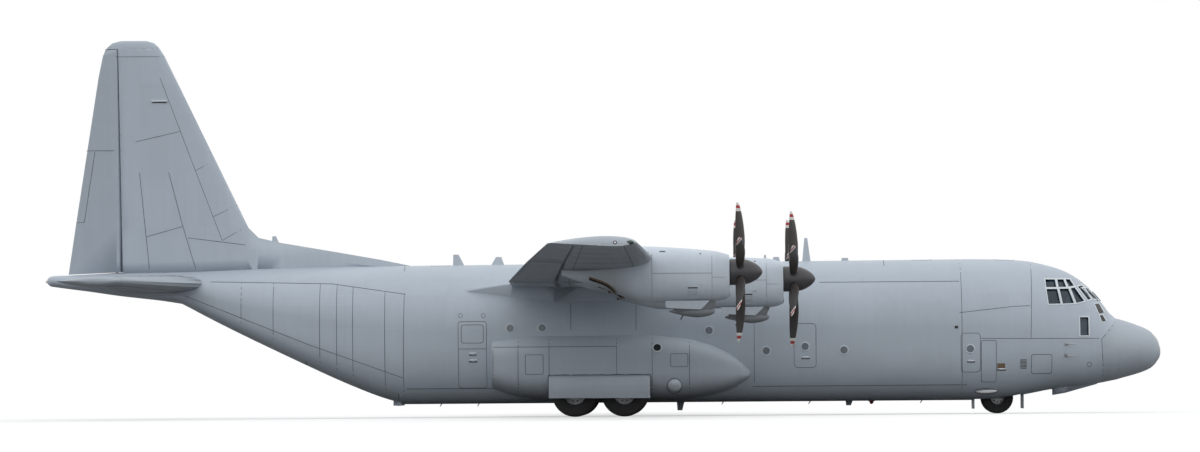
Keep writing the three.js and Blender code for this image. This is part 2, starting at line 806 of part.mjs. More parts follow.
add(
  "tail_section",
  tailHull
    .subtract(hull(RAMP_JOINT - 10, DOOR_END + 20, WALL, undefined, INNER_POINTS))
    .subtract(rampCut(MOVING_GAP))
    .subtract(doorCut(MOVING_GAP))
    .add(joined(fixedLugs))
    .subtract(
      pinBore(
        rampLine(-RAMP_LUGS[0].fixed[1] - 10), rampLine(RAMP_LUGS[0].fixed[1] + 10), RAMP_HINGE.pin,
      ),
    )
    .subtract(pinBore(doorLine(-DOOR_HINGE.reach - 4), doorLine(DOOR_HINGE.reach + 4), DOOR_HINGE.pin))
    .subtract(tailPinBores()),
  GREY,
);
add(
  "cargo_ramp",
  tailHull.intersect(rampCut(0)).subtract(lugPocket).add(joined(movingLugs)),
  GREY,
);
add(
  "cargo_door",
  tailHull
    .intersect(doorCut(0))
    .add(hingePin(doorLine(-DOOR_HINGE.reach), doorLine(DOOR_HINGE.reach), DOOR_HINGE.pin)),
  GREY,
);

// Fin with its dorsal fillet, and the rudder
const FIN = [
  // height, leading edge station, trailing edge station, half thickness
  [3900, 27610, 34090, 350],
  [5578, 28420, 33820, 300],
  [10300, 30696, 33070, 137],
  [10944, 31006, 32935, 115],
  [11210, 31180, 32825, 92],
  [11350, 31330, 32660, 62],
  [11420, 31560, 32400, 26],
];
const FIN_SHARES = [0, 0.03, 0.12, 0.3, 0.5, 1];
const DORSAL = [
  // station, top height, half width
  [23250, 4300, 40],
  [24255, 4510, 120],
  [25500, 4736, 190],
  [27380, 5065, 240],
  [28090, 5230, 260],
  [28420, 5560, 260],
  [29000, 6300, 200],
];
const finRow = (height) => {
  const next = Math.max(1, FIN.findIndex((row) => row[0] >= height));
  const t = (height - FIN[next - 1][0]) / (FIN[next][0] - FIN[next - 1][0]);
  return FIN[next - 1].map((value, i) => mix(value, FIN[next][i], t));
};
const finHalf = (row, station) => {
  const share = (station - row[1]) / (row[2] - row[1]);
  return (row[3] / 0.5) * sectionShape(share, 1, 0)[0] + 4;
};
function finRing(row, end) {
  const stations = FIN_SHARES.map((share) => mix(row[1], end, share));
  const left = stations.map((station) => [x(station), finHalf(row, station), z(row[0])]);
  const right = stations
    .slice(1)
    .reverse()
    .map((station) => [x(station), -finHalf(row, station), z(row[0])]);
  return [...left, ...right];
}
const hingeHalf = (height) => finHalf(finRow(height), RUDDER_HINGE);
function rudderRing(height) {
  const row = finRow(height);
  const edge = z(height === RUDDER.bottom ? height - RUDDER.drop : height);
  const radius = hingeHalf(height);
  const nose = NOSE_STEPS.map((step) => {
    const angle = (step * Math.PI) / 2;
    return [x(RUDDER_HINGE) + radius * Math.cos(angle), radius * Math.sin(angle), z(height)];
  });
  return [...nose, [x(row[2]), 8, edge], [x(row[2]), -8, edge]];
}
const dorsal = loft(
  DORSAL.map(([station, top, half]) => [
    [x(station), half, z(4000)],
    [x(station), half * 0.8, z(mix(4000, top, 0.6))],
    [x(station), half * 0.3, z(top)],
    [x(station), -half * 0.3, z(top)],
    [x(station), -half * 0.8, z(mix(4000, top, 0.6))],
    [x(station), -half, z(4000)],
  ]),
);
const TIP_FROM = RUDDER.top + MOVING_GAP;
const finRowsBelow = FIN.filter((row) => row[0] < RUDDER.top);
const finBody = loft(
  [...finRowsBelow, finRow(TIP_FROM)].map((row) =>
    finRing(row, RUDDER_HINGE - finHalf(row, RUDDER_HINGE) - MOVING_GAP),
  ),
);
const finTip = loft(
  [finRow(TIP_FROM - 1), ...FIN.filter((row) => row[0] > TIP_FROM)].map((row) =>
    finRing(row, row[2] - 20),
  ),
);
const rudderHeights = [
  RUDDER.bottom,
  ...finRowsBelow.map((row) => row[0]).filter((height) => height > RUDDER.bottom),
  RUDDER.top,
];
const fuselageGrown = hull(15000, TAIL_END, -FIT_GAP);
const RUDDER_TOP_PIN = 22;
add(
  "fin",
  joined([finBody, finTip, dorsal, aerial(DORSAL_AERIAL)])
    .subtract(fuselageGrown)
    .subtract(pinBore(rudderLine(RUDDER.top), rudderLine(RUDDER.top + 84), RUDDER_TOP_PIN)),
  GREY,
);
add(
  "rudder",
  joined([
    loft(rudderHeights.map(rudderRing)),
    hingePin(rudderLine(RUDDER.bottom - 150), rudderLine(RUDDER.bottom + 50), TAIL_PIN),
    hingePin(rudderLine(RUDDER.top - 50), rudderLine(RUDDER.top + 78), RUDDER_TOP_PIN),
  ]),
  GREY,
);

// Tailplane and elevators
const stabRow = (out) => {
  const t = (out - ELEVATOR.inner) / (STAB.tipOut - ELEVATOR.inner);
  return [mix(29720, 31742, t), mix(33880, 33575, t), mix(280, 130, t)];
};
const stabHalf = (row, station) => {
  const share = (station - row[0]) / (row[1] - row[0]);
  return (row[2] / 0.5) * sectionShape(share, 1, 0)[0] + 4;
};
function stabRing(y, end, flatten = 1, shrink = 1) {
  const row = stabRow(Math.abs(y));
  const middle = (row[0] + row[1]) / 2;
  const stations = FIN_SHARES.map((share) => mix(row[0], end ?? row[1] - 10, share));
  const point = (station, up) => [
    x(mix(middle, station, shrink)),
    y,
    z(STAB.height + up * flatten * stabHalf(row, station)),
  ];
  return [
    ...stations.map((station) => point(station, 1)),
    ...stations
      .slice(1)
      .reverse()
      .map((station) => point(station, -1)),
  ];
}
const stabCove = (out) => HINGE_STATION - stabHalf(stabRow(out), HINGE_STATION) - MOVING_GAP;
function elevatorRing(y) {
  const row = stabRow(Math.abs(y));
  const radius = stabHalf(row, HINGE_STATION);
  const nose = NOSE_STEPS.map((step) => {
    const angle = (step * Math.PI) / 2;
    return [
      x(HINGE_STATION) + radius * Math.cos(angle),
      y,
      z(STAB.height) + radius * Math.sin(angle),
    ];
  });
  return [...nose, [x(row[1]), y, z(STAB.height) + 8], [x(row[1]), y, z(STAB.height) - 8]];
}
for (const [label, side] of [["left", 1], ["right", -1]]) {
  const inner = side * STAB.rootOut;
  const outer = side * (ELEVATOR.outer + MOVING_GAP);
  const tip = side * (STAB.tipOut - 60);
  const panel = loft([
    stabRing(inner, stabCove(STAB.rootOut)),
    stabRing(outer, stabCove(ELEVATOR.outer)),
  ]);
  const cap = loft([
    stabRing(outer - side),
    stabRing(tip, undefined, 0.85, 0.97),
    stabRing(side * STAB.tipOut, undefined, 0.35, 0.85),
  ]);
  const outerPin = [stabLine(side * (ELEVATOR.outer - 40)), stabLine(side * (ELEVATOR.outer + 70))];
  add(
    `tailplane_${label}`,
    panel.add(cap).subtract(fuselageGrown).subtract(pinBore(...outerPin, TAIL_PIN)),
    GREY,
  );
  add(
    `elevator_${label}`,
    joined([
      loft([elevatorRing(side * ELEVATOR.inner), elevatorRing(side * ELEVATOR.outer)]),
      hingePin(
        stabLine(side * (ELEVATOR.pinInner + 8)), stabLine(side * (ELEVATOR.inner + 40)), TAIL_PIN,
      ),
      hingePin(outerPin[0], stabLine(side * (ELEVATOR.outer + 62)), TAIL_PIN),
    ]),
    GREY,
  );
}

// Engines: a hollow nacelle under the wing, a plain engine block in it and a six-bladed propeller

const ringAround = (station, y, middle, half, up, down, power, points = 16) => {
  const ring = [];
  for (let i = 0; i < points; i++) {
    const angle = (2 * Math.PI * (i + 0.5)) / points;
    const rise = Math.sin(angle);
    const out = Math.cos(angle);
    ring.push([
      x(station),
      y + Math.sign(out) * half * Math.abs(out) ** (2 / power),
      middle + Math.sign(rise) * (rise > 0 ? up : down) * Math.abs(rise) ** (2 / power),
    ]);
  }
  return ring;
};

function nacelle(engine, side) {
  const y = side * engine.out;
  const hub = z(engine.hub);
  const lip = x(WING.quarterStation) + 0.25 * wingChord(engine.out);
  const edge = LENGTH / 2 - lip;
  const rows = [
    // station, top and bottom from the hub line, half width
    [engine.base + 14, 500, -720, 480],
    [engine.base + 120, 540, -790, 540],
    [engine.base + 500, 632, -860, 625],
    [edge - 700, 725, -885, 680],
    [edge, 770, -890, 675],
    [edge + 500, 765, -790, 640],
    [edge + 1050, 660, -640, 560],
    [edge + 1900, 200, -330, 400],
    [edge + 2700, 180, -70, 200],
  ];
  const ringOf = ([station, top, bottom, half], inset, points) => {
    const middle = hub + (top + bottom) / 2;
    const reach = (top - bottom) / 2 - inset;
    return ringAround(station, y, middle, half - inset, reach, reach, 2.4, points);
  };
  const outer = loft(rows.map((row) => ringOf(row, 0)));
  const bay = loft(
    [
      [engine.base + 260, 380, -800, 560],
      [engine.base + 900, 560, -860, 640],
      [edge - 600, 590, -860, 650],
      [edge - 200, 100, -830, 640],
      [edge + 430, 20, -740, 560],
    ].map((row) => ringOf(row, 70, 10)),
  );
  const intake = loft(
    [engine.base - 40, engine.base + 300].map((station) =>
      ringAround(station, y, hub - 560, 330, 95, 95, 2.2, 8),
    ),
  );
  const exhaust = rod(
    [x(edge + 300), y, hub - 400],
    [x(edge + 2400), y, hub - 470],
    210,
    10,
  );
  const cooler = loft(
    [
      // station, depth and half width of the oil cooler body under the nacelle
      [engine.base + 430, 40, 150],
      [engine.base + 560, 300, 250],
      [engine.base + 900, 430, 290],
      [engine.base + 1500, 360, 280],
      [engine.base + 1900, 60, 180],
    ].map(([station, depth, half]) =>
      ringAround(station, y, hub - 860, half, 100, depth, 2.4, 8),
    ),
  );
  const wingGrown =
    engine.name === "inboard"
      ? wingPart([side * rootEdge, side * wingJoint], full, FIT_GAP).add(
          wingPart([side * (wingJoint - 2), side * 6400], full, 4),
        )
      : wingPart([side * 5700, side * AILERON.inner, side * 19000], full, 4);
  const cuts = [
    bay,
    intake,
    exhaust,
    wingGrown,
    engineMount(engine, y, FIT_GAP),
    shaft(engine, y, boreFor(PROP_SHAFT, SHAFT_SIDES), engine.base - 50, engine.base + 500),
  ];
  return cuts.reduce((body, cut) => body.subtract(cut), outer.add(cooler));
}

const BLADE_ROWS = [
  // radius, chord, thickness, pitch from the disc, sweep back
  [330, 210, 130, 62, 0],
  [620, 300, 90, 54, -10],
  [1050, 385, 62, 46, -10],
  [1600, 370, 42, 37, 35],
  [PROP_RADIUS, 120, 14, 30, 130],
];
const BLADE_SECTION = [
  // along the chord from the leading edge, across, as shares
  [0.5, 0],
  [0.2, 0.5],
  [-0.5, 0],
  [0.2, -0.4],
];
function blade(phase) {
  const rings = BLADE_ROWS.map(([radius, chord, thick, pitch, sweep]) =>
    BLADE_SECTION.map(([along, across]) => {
      const a = along * chord - sweep;
      const b = across * thick;
      const p = radians(pitch);
      const forward = a * Math.sin(p) + b * Math.cos(p);
      const sideways = a * Math.cos(p) - b * Math.sin(p);
      return new THREE.Vector3(forward, sideways, radius)
        .applyAxisAngle(new THREE.Vector3(1, 0, 0), phase)
        .toArray();
    }),
  );
  return loft(rings);
}
const spinner = turned(
  [
    [0, -SPINNER.bladePlane],
    [SPINNER.radius, -SPINNER.bladePlane],
    [SPINNER.radius - 5, 60],
    [SPINNER.radius - 60, 270],
    [SPINNER.radius - 170, 480],
    [110, 610],
    [0, SPINNER.length - SPINNER.bladePlane],
  ],
  "x",
  14,
);
const propeller = joined([
  spinner,
  rod([-SPINNER.bladePlane - 250, 0, 0], [-SPINNER.bladePlane + 50, 0, 0], PROP_SHAFT, SHAFT_SIDES),
  ...Array.from({ length: BLADES }, (_, i) => blade((2 * Math.PI * i) / BLADES)),
]);

const ENGINE_DROP = 330;
const ENGINE_RADIUS = 330;
function engineBlock(engine, y) {
  const edge = WING.quarterStation - 0.25 * wingChord(engine.out);
  const middle = z(engine.hub) - ENGINE_DROP;
  const from = engine.base + 420;
  const to = edge - 240;
  return rod([x(from), y, middle], [x(to), y, middle], ENGINE_RADIUS, 12);
}

// The beam that carries the engine, let into both walls of its nacelle
const engineMount = (engine, y, grow) =>
  block(
    x(engine.base + 820 - grow),
    x(engine.base + 940 + grow),
    y - 610 - grow,
    y + 610 + grow,
    z(engine.hub) - ENGINE_DROP - 50 - grow,
    z(engine.hub) - ENGINE_DROP + 50 + grow,
  );
// The shaft from the engine to the propeller, and its bore through the nacelle's front
const shaft = (engine, y, radius, from, to) =>
  rod([x(from), y, z(engine.hub)], [x(to), y, z(engine.hub)], radius, SHAFT_SIDES);

for (const engine of ENGINES) {
  for (const [label, side] of [["left", 1], ["right", -1]]) {
    const y = side * engine.out;
    const name = `${engine.name}_${label}`;
    add(`nacelle_${name}`, nacelle(engine, side), GREY);
    const gearbox = rod(
      [x(engine.base + 300), y, z(engine.hub)],
      [x(engine.base + 720), y, z(engine.hub)],
      230,
      12,
    );
    add(`engine_${name}`, joined([engineBlock(engine, y), engineMount(engine, y, 0), gearbox]), STEEL);
    const plane = x(engine.base) + SPINNER.bladePlane;
    add(`propeller_${name}`, propeller, DARK, [plane, y, z(engine.hub)]);
  }
}

// Landing gear pods, main legs, wheels and pod doors

const POD = [
  // station, bottom, top, outer side
  [12780, 800, 960, 2040],
  [12850, 660, 1100, 2130],
  [12940, 590, 1225, 2215],
  [13034, 530, 1356, 2300],
  [13402, 336, 1664, 2440],
  [13918, 204, 1936, 2570],
  [14676, 111, 2138, 2690],
  [15811, 67, 2249, 2740],
  [18964, 92, 2247, 2740],
  [19885, 173, 2194, 2690],
  [20740, 391, 2103, 2560],
];
const podRing = ([station, bottom, top, outer], inset = 0) => {
  const middle = z((bottom + top) / 2);
  const reach = (top - bottom) / 2 - inset;
  return ringAround(station, 0, middle, outer - inset, reach, reach, 3.4, 36);
};
const podHull = (inset) => loft(POD.map((row) => podRing(row, inset)));
const POD_DOOR = { from: MAIN_STATION - 1560, to: MAIN_STATION + 1560, top: 853, thick: 60 };
const POD_PIN = { y: 2692, height: 848, radius: 15 };
const podPin = (side, make, reach) =>
  make(
    [x(POD_DOOR.from - reach), side * POD_PIN.y, z(POD_PIN.height)],
    [x(POD_DOOR.to + reach), side * POD_PIN.y, z(POD_PIN.height)],
    POD_PIN.radius,
  );
const doorSpan = (side, grow) =>
  block(
    x(POD_DOOR.from - grow),
    x(POD_DOOR.to + grow),
    side * 2190,
    side * WIDE,
    z(-600),
    z(POD_DOOR.top + 1.8 * grow),
  );
const podSolid = podHull(0);
const podSkin = podSolid.subtract(podHull(POD_DOOR.thick));
const cargoGrown = hull(NOSE_JOINT, RAMP_JOINT, -FIT_GAP);

const WHEEL_SIDES = 20;
// A wheel with its tyre, standing on a flat of its tread
function wheel({ radius, width, rim }, bore) {
  const half = width / 2;
  const tread = radius / Math.cos(Math.PI / WHEEL_SIDES);
  const profile = [
    [bore, -half * 0.55],
    [rim, -half * 0.62],
    [rim + 30, -half * 0.92],
    [radius * 0.8, -half],
    [tread * 0.95, -half * 0.84],
    [tread, -half * 0.5],
    [tread, half * 0.5],
    [tread * 0.95, half * 0.84],
    [radius * 0.8, half],
    [rim + 30, half * 0.92],
    [rim, half * 0.62],
    [bore, half * 0.55],
    [bore, -half * 0.55],
  ];
  return turned(profile, "y", WHEEL_SIDES, Math.PI / WHEEL_SIDES);
}

const AXLE_RADIUS = 62;
const LEG = { out: 1834, radius: 66, roof: 1040 };
for (const [label, side] of [["left", 1], ["right", -1]]) {
  const nearSide = block(x(12000), x(22000), 0, side * WIDE, z(-100), z(3000));
  const pod = podSolid
    .intersect(nearSide)
    .subtract(cargoGrown)
    .subtract(wheelWell(side, 1250, 1760).intersect(block(-9000, 9000, 0, side * 2560, 0, 3000)))
    .subtract(doorSpan(side, MOVING_GAP))
    .subtract(podPin(side, pinBore, 64));
  add(`gear_pod_${label}`, pod, GREY);

  const hinge = new THREE.Group();
  hinge.position.set(0, side * POD_PIN.y, z(POD_PIN.height));
  hinge.rotation.x = side * radians(POD_DOOR_ANGLE);
  aircraft.add(hinge);
  const panel = podSkin
    .intersect(doorSpan(side, 0))
    .intersect(block(-9000, 9000, side * 2250, side * WIDE, 0, 3000))
    .add(podPin(side, hingePin, 60));
  const place = [0, -side * POD_PIN.y, -z(POD_PIN.height)];
  const door = add(`gear_pod_door_${label}`, panel, GREY, place);
  hinge.add(door);

  const ends = [MAIN_STATION - MAIN_SPACING / 2, MAIN_STATION + MAIN_SPACING / 2];
  const y = side * LEG.out;
  const legs = ends.flatMap((station) => [
    rod([x(station), y, MAIN_WHEEL.radius - 110], [x(station), y, z(LEG.roof) - FIT_GAP], LEG.radius),
    rod(
      [x(station), side * (LEG.out - 60), MAIN_WHEEL.radius],
      [x(station), side * (MAIN_WHEEL.out + 190), MAIN_WHEEL.radius],
      AXLE_RADIUS,
      WHEEL_SIDES,
    ),
  ]);
  legs.push(rod([x(ends[0]), y, 1020], [x(ends[1]), y, 1020], 45, 10));
  add(`main_gear_legs_${label}`, joined(legs), STEEL);
  ends.forEach((station, i) => {
    const name = `main_wheel_${i ? "rear" : "front"}_${label}`;
    const place = [x(station), side * MAIN_WHEEL.out, MAIN_WHEEL.radius];
    add(name, wheel(MAIN_WHEEL, boreFor(AXLE_RADIUS, WHEEL_SIDES)), RUBBER, place);
  });
}

// Nose gear: a fixed leg, a steered lower strut and twin wheels on one axle
const STEER_HEIGHT = 820;
const noseX = x(NOSE_STATION);
const NOSE_AXLE = 48;
const STEER_PIN = 30;
const noseLine = (height) => [noseX, 0, height];
const noseAxle = (y) => [noseX, y, NOSE_WHEEL.radius];
add(
  "nose_gear_leg",
  rod(noseLine(STEER_HEIGHT + 12), noseLine(z(NOSE_BAY.roof) - FIT_GAP), 92)
    .add(rod(noseLine(1056), [x(4500), 0, z(NOSE_BAY.roof) - 36], 30, 10))
    .subtract(pinBore(noseLine(STEER_HEIGHT - 20), noseLine(STEER_HEIGHT + 130), STEER_PIN)),
  STEEL,
);
add(
  "nose_gear_strut",
  rod(noseAxle(-92), noseAxle(92), 96, 16)
    .add(rod(noseAxle(0), noseLine(STEER_HEIGHT), 66, 12))
    .subtract(rod(noseAxle(-200), noseAxle(200), boreFor(NOSE_AXLE, 16), 16))
    .add(hingePin(noseLine(STEER_HEIGHT - 60), noseLine(STEER_HEIGHT + 120), STEER_PIN)),
  STEEL,
);
const noseWheel = (side) =>
  wheel(NOSE_WHEEL, NOSE_AXLE - 1).translate([0, side * NOSE_WHEEL.out, 0]);
add(
  "nose_wheels",
  rod([0, -390, 0], [0, 390, 0], NOSE_AXLE, 16).add(noseWheel(1)).add(noseWheel(-1)),
  RUBBER,
  [noseX, 0, NOSE_WHEEL.radius],
);
for (const [label, near, far] of [
  ["front", NOSE_BAY.from + FIT_GAP, NOSE_BAY.from + 40],
  ["rear", NOSE_BAY.to - 40, NOSE_BAY.to - FIT_GAP],
]) {
  add(`nose_gear_door_${label}`, block(x(near), x(far), -690, 690, 150, z(240)), GREY);
}

const model = new THREE.Group();
model.scale.setScalar(MODEL_SCALE);
model.add(aircraft);
export default model;
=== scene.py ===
import json
from contextlib import contextmanager
from math import cos, hypot, pi, radians, sin, tan

import bmesh
import bpy
import numpy as np
from mathutils import Matrix, Vector

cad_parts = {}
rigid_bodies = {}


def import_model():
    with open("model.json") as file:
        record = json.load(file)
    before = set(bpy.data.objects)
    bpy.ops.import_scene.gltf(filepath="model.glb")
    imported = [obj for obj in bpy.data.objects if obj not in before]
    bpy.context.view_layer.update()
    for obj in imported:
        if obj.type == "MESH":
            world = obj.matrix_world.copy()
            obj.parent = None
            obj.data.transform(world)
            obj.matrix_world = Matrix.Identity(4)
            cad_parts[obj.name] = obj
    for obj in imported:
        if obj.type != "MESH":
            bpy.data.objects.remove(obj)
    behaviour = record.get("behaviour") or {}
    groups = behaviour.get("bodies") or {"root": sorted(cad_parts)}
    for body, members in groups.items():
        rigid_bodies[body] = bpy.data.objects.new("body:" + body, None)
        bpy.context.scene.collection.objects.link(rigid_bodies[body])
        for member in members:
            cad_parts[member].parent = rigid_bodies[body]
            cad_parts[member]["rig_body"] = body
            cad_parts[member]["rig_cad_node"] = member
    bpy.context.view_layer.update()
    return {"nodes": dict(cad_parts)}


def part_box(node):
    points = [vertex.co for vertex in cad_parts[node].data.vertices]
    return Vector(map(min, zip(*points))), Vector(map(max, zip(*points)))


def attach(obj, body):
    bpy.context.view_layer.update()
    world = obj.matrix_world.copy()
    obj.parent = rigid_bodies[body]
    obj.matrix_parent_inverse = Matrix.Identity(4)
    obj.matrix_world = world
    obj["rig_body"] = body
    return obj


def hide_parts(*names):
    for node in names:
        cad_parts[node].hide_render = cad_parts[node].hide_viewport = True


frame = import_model()
nodes = frame["nodes"]

MM = 0.0005
LENGTH = 34720
BELLY = 420
SIDES = {"left": 1, "right": -1}
CLOSE = 0.00002


def spot(station, out, height):
    return Vector(((LENGTH / 2 - station) * MM, out * MM, (BELLY + height) * MM))


# Camera, light and floor

CAMERA = {"station": 13880, "out": -190000, "height": 734}
AIM = {"station": 17421, "out": 0, "height": 5516}
LENS = 182.7
ROLL = -0.435
FAR = 5000
WHITE = (1, 1, 1, 1)
SKY = {"Color": (0.98, 0.99, 1, 1), "Strength": 1.15}
GROUND = (0.19, 0.19, 0.19, 1)
SHADED_GROUND = (0.9, 0.9, 0.9, 1)
SHADOW_SHARE = 0.5
FLOOR_SIZE = 900


def shader(tree, kind, **values):
    node = tree.nodes.new(f"ShaderNode{kind}")
    for socket, value in values.items():
        node.inputs[socket].default_value = value
    return node


def mixed(tree, a, b):
    mix = shader(tree, "MixShader")
    tree.links.new(a.outputs[0], mix.inputs[1])
    tree.links.new(b.outputs[0], mix.inputs[2])
    return mix


# One shader for what the camera sees itself, and another for all that light and reflections meet
def by_ray(tree, output, others, seen):
    choice = mixed(tree, others, seen)
    tree.links.new(shader(tree, "LightPath").outputs["Is Camera Ray"], choice.inputs[0])
    tree.links.new(choice.outputs[0], shader(tree, output).inputs[0])


def stage():
    eye = spot(**CAMERA)
    turn = (spot(**AIM) - eye).to_track_quat("-Z", "Y").to_matrix()
    bpy.ops.object.camera_add(location=eye)
    camera = bpy.context.object
    camera.rotation_euler = (turn @ Matrix.Rotation(radians(ROLL), 3, "Z")).to_euler()
    camera.data.lens = LENS
    camera.data.clip_end = FAR
    bpy.context.scene.camera = camera

    world = bpy.data.worlds.new("soft_white_room")
    bpy.context.scene.world = world
    world.use_nodes = True
    tree = world.node_tree
    tree.nodes.clear()
    sky, seen = shader(tree, "Background", **SKY), shader(tree, "Background", Color=WHITE)
    by_ray(tree, "OutputWorld", sky, seen)

    bpy.ops.mesh.primitive_plane_add(size=FLOOR_SIZE, location=(FLOOR_SIZE / 3, 0, 0))
    floor = bpy.context.object
    floor.name = "floor"
    material = bpy.data.materials.new("pale_floor")
    material.use_nodes = True
    tree = material.node_tree
    tree.nodes.clear()
    glow = shader(tree, "Emission", Color=WHITE)
    pale = mixed(tree, glow, shader(tree, "BsdfDiffuse", Color=SHADED_GROUND))
    pale.inputs[0].default_value = SHADOW_SHARE
    by_ray(tree, "OutputMaterial", shader(tree, "BsdfDiffuse", Color=GROUND), pale)
    floor.data.materials.append(material)
    bpy.context.scene.view_settings.view_transform = "Standard"


stage()


# Finishes: a wire is a value in a material, and sums with wires add the nodes that work them out

def worked(operation, swapped=False):
    def work(self, *others):
        values = (*others, self) if swapped else (self, *others)
        return self.finish.node("Math", *values, operation=operation)

    return work


class Wire:
    def __init__(self, finish, socket):
        self.finish = finish
        self.socket = socket

    __add__ = __radd__ = worked("ADD")
    __mul__ = __rmul__ = worked("MULTIPLY")
    __sub__ = worked("SUBTRACT")
    __rsub__ = worked("SUBTRACT", swapped=True)
    __truediv__ = worked("DIVIDE")
    __pow__ = worked("POWER")
    __lt__ = worked("LESS_THAN")
    most = worked("MAXIMUM")
    size = worked("ABSOLUTE")
    part = worked("FRACT")


class Finish:
    def __init__(self, name, color, roughness, **others):
        self.material = bpy.data.materials.new(name)
        self.material.use_nodes = True
        self.tree = self.material.node_tree
        self.shader = self.tree.nodes["Principled BSDF"]
        self.color = color
        self.set("Base Color", (*color, 1))
        self.set("Roughness", roughness)
        for socket, value in others.items():
            self.set(socket.replace("_", " ").title().replace("Ior", "IOR"), value)
        self.place = self.node("TexCoord", output="Object")
        split = self.node("SeparateXYZ", self.place)
        self.x, self.y, self.z = (Wire(self, s) for s in split.socket.node.outputs)

    def set(self, socket, value):
        self.put(self.shader.inputs[socket], value)

    def put(self, socket, value):
        if isinstance(value, Wire):
            self.tree.links.new(value.socket, socket)
        elif value is not None:
            socket.default_value = value

    def node(self, kind, *values, output=0, operation=None, **named):
        node = self.tree.nodes.new(f"ShaderNode{kind}")
        if operation:
            node.operation = operation
        for socket, value in zip(node.inputs, values):
            self.put(socket, value)
        for socket, value in named.items():
            self.put(node.inputs[socket], value)
        return Wire(self, node.outputs[output])

    # Noise of features of a size in millimetres, stretched along an axis, from 0 to 1
    def cloud(self, size, stretch=(1, 1, 1), detail=3, seed=0):
        scale = [1 / (size * MM * s) for s in stretch]
        place = self.node("Mapping", self.place, (seed, seed, seed), None, scale)
        return self.node("TexNoise", Vector=place, Scale=1.0, Detail=detail)

    # A random tone for each panel of a sheet-metal skin, from 0 to 1
    def panels(self, lengths):
        scale = [1 / (size * MM) for size in lengths]
        place = self.node("VectorMath", self.place, scale, operation="MULTIPLY")
        return self.node("TexWhiteNoise", self.node("VectorMath", place, operation="FLOOR"))

    # 1 on round heads in rows: pitch along one wire, rows at another pitch along a second
    def rivets(self, along, pitch, across, rows, radius):
        a = ((along / pitch).part() - 0.5) * pitch
        b = ((across / rows).part() - 0.5) * rows
        return a.size() ** 2.0 + b.size() ** 2.0 < radius**2

    def blend(self, factor, a, b):
        node = self.tree.nodes.new("ShaderNodeMix")
        node.data_type = "RGBA"
        for socket, value in zip((0, 6, 7), (factor, a, b)):
            self.put(node.inputs[socket], (*value, 1) if isinstance(value, tuple) else value)
        return Wire(self, node.outputs[2])

    # The base colour made lighter or darker by a wire around 1
    def tone(self, amount):
        return self.node("VectorMath", self.color, operation="SCALE", Scale=amount)

    def bump(self, height, distance):
        normal = self.node("Bump", Strength=1.0, Distance=distance * MM, Height=height)
        self.set("Normal", normal)


GREY = (0.415, 0.468, 0.53)
NACELLE_GREY = (0.54, 0.6, 0.67)
SOOT = (0.09, 0.075, 0.06)
RIVETS = {"pitch": 55, "rows": (510, 640), "radius": 7}


# Weathered matt paint on sheet metal, with rivet rows along a grid and streaks down its sides
def grey_paint(name, color=GREY, panels=(1200, 600, 700), rivets=("station", "height"), soot=None):
    finish = Finish(name, color, 0.5, specular_ior_level=0.35)
    clouds = finish.cloud(2600, detail=5, seed=3) - 0.5
    streaks = finish.cloud(160, stretch=(1, 1, 14), detail=4, seed=8) - 0.5
    grain = finish.cloud(40, detail=2, seed=1) - 0.5
    tones = finish.panels(panels) - 0.5
    axes = {
        "station": LENGTH / 2 - finish.x * (1 / MM), "out": finish.y * (1 / MM),
        "height": finish.z * (1 / MM) - BELLY,
    }
    a, b = (axes[axis] for axis in rivets)
    pitch, radius = RIVETS["pitch"], RIVETS["radius"]
    near, far = RIVETS["rows"]
    heads = finish.rivets(a, pitch, b, near, radius).most(finish.rivets(b, pitch, a, far, radius))
    color = finish.tone(
        1 + clouds * 0.16 + streaks * 0.07 + grain * 0.04 + tones * 0.035 - heads * 0.10
    )
    if soot:
        *place, reach = soot
        away = finish.node(
            "VectorMath", finish.place, spot(*place), operation="DISTANCE", output="Value",
        )
        smoke = (1 - away / (reach * MM)).most(0) * (0.6 + streaks)
        color = finish.blend(smoke, color, SOOT)
    finish.set("Base Color", color)
    finish.set("Roughness", 0.5 + clouds * 0.2 + grain * 0.12)
    finish.bump(heads * 0.5 + grain * 0.3 + finish.cloud(900, detail=2, seed=5) * 2.5, 5)
    return finish.material


def plain_finish(name, color, roughness, size=60, spread=0.25, **others):
    finish = Finish(name, color, roughness, **others)
    grain = finish.cloud(size, detail=4) - 0.5
    wide = finish.cloud(size * 9, detail=3, seed=4) - 0.5
    finish.set("Base Color", finish.tone(1 + grain * spread + wide * spread))
    finish.set("Roughness", roughness + grain * 0.2)
    finish.bump(grain, size / 20)
    return finish.material


def glass_finish():
    finish = Finish("window_glass", (0.012, 0.03, 0.045), 0.06, specular_ior_level=0.6)
    # Streaks of lighter blue in the glass's colour are a painted reflection; the same noise varies its
    # roughness
    painted_reflection_and_haze = finish.cloud(420, stretch=(1, 1, 2), detail=4, seed=2)
    share = (painted_reflection_and_haze - 0.45).most(0) * 1.2
    finish.set("Base Color", finish.blend(share, (0.01, 0.026, 0.04), (0.1, 0.17, 0.23)))
    finish.set("Roughness", 0.05 + painted_reflection_and_haze * 0.08)
    finish.set("Alpha", 0.86)
    return finish.material


def blade_finish():
    finish = Finish("blade_paint", (0.040, 0.034, 0.031), 0.45)
    grain = finish.cloud(50, detail=5) - 0.5
    scuffs = (finish.cloud(25, detail=6, seed=6) - 0.62).most(0) * 2
    finish.set("Base Color", finish.blend(scuffs, finish.tone(1 + grain * 0.6), (0.12, 0.1, 0.085)))
    finish.set("Roughness", 0.42 + grain * 0.3)
    finish.bump(grain, 3)
    return finish.material


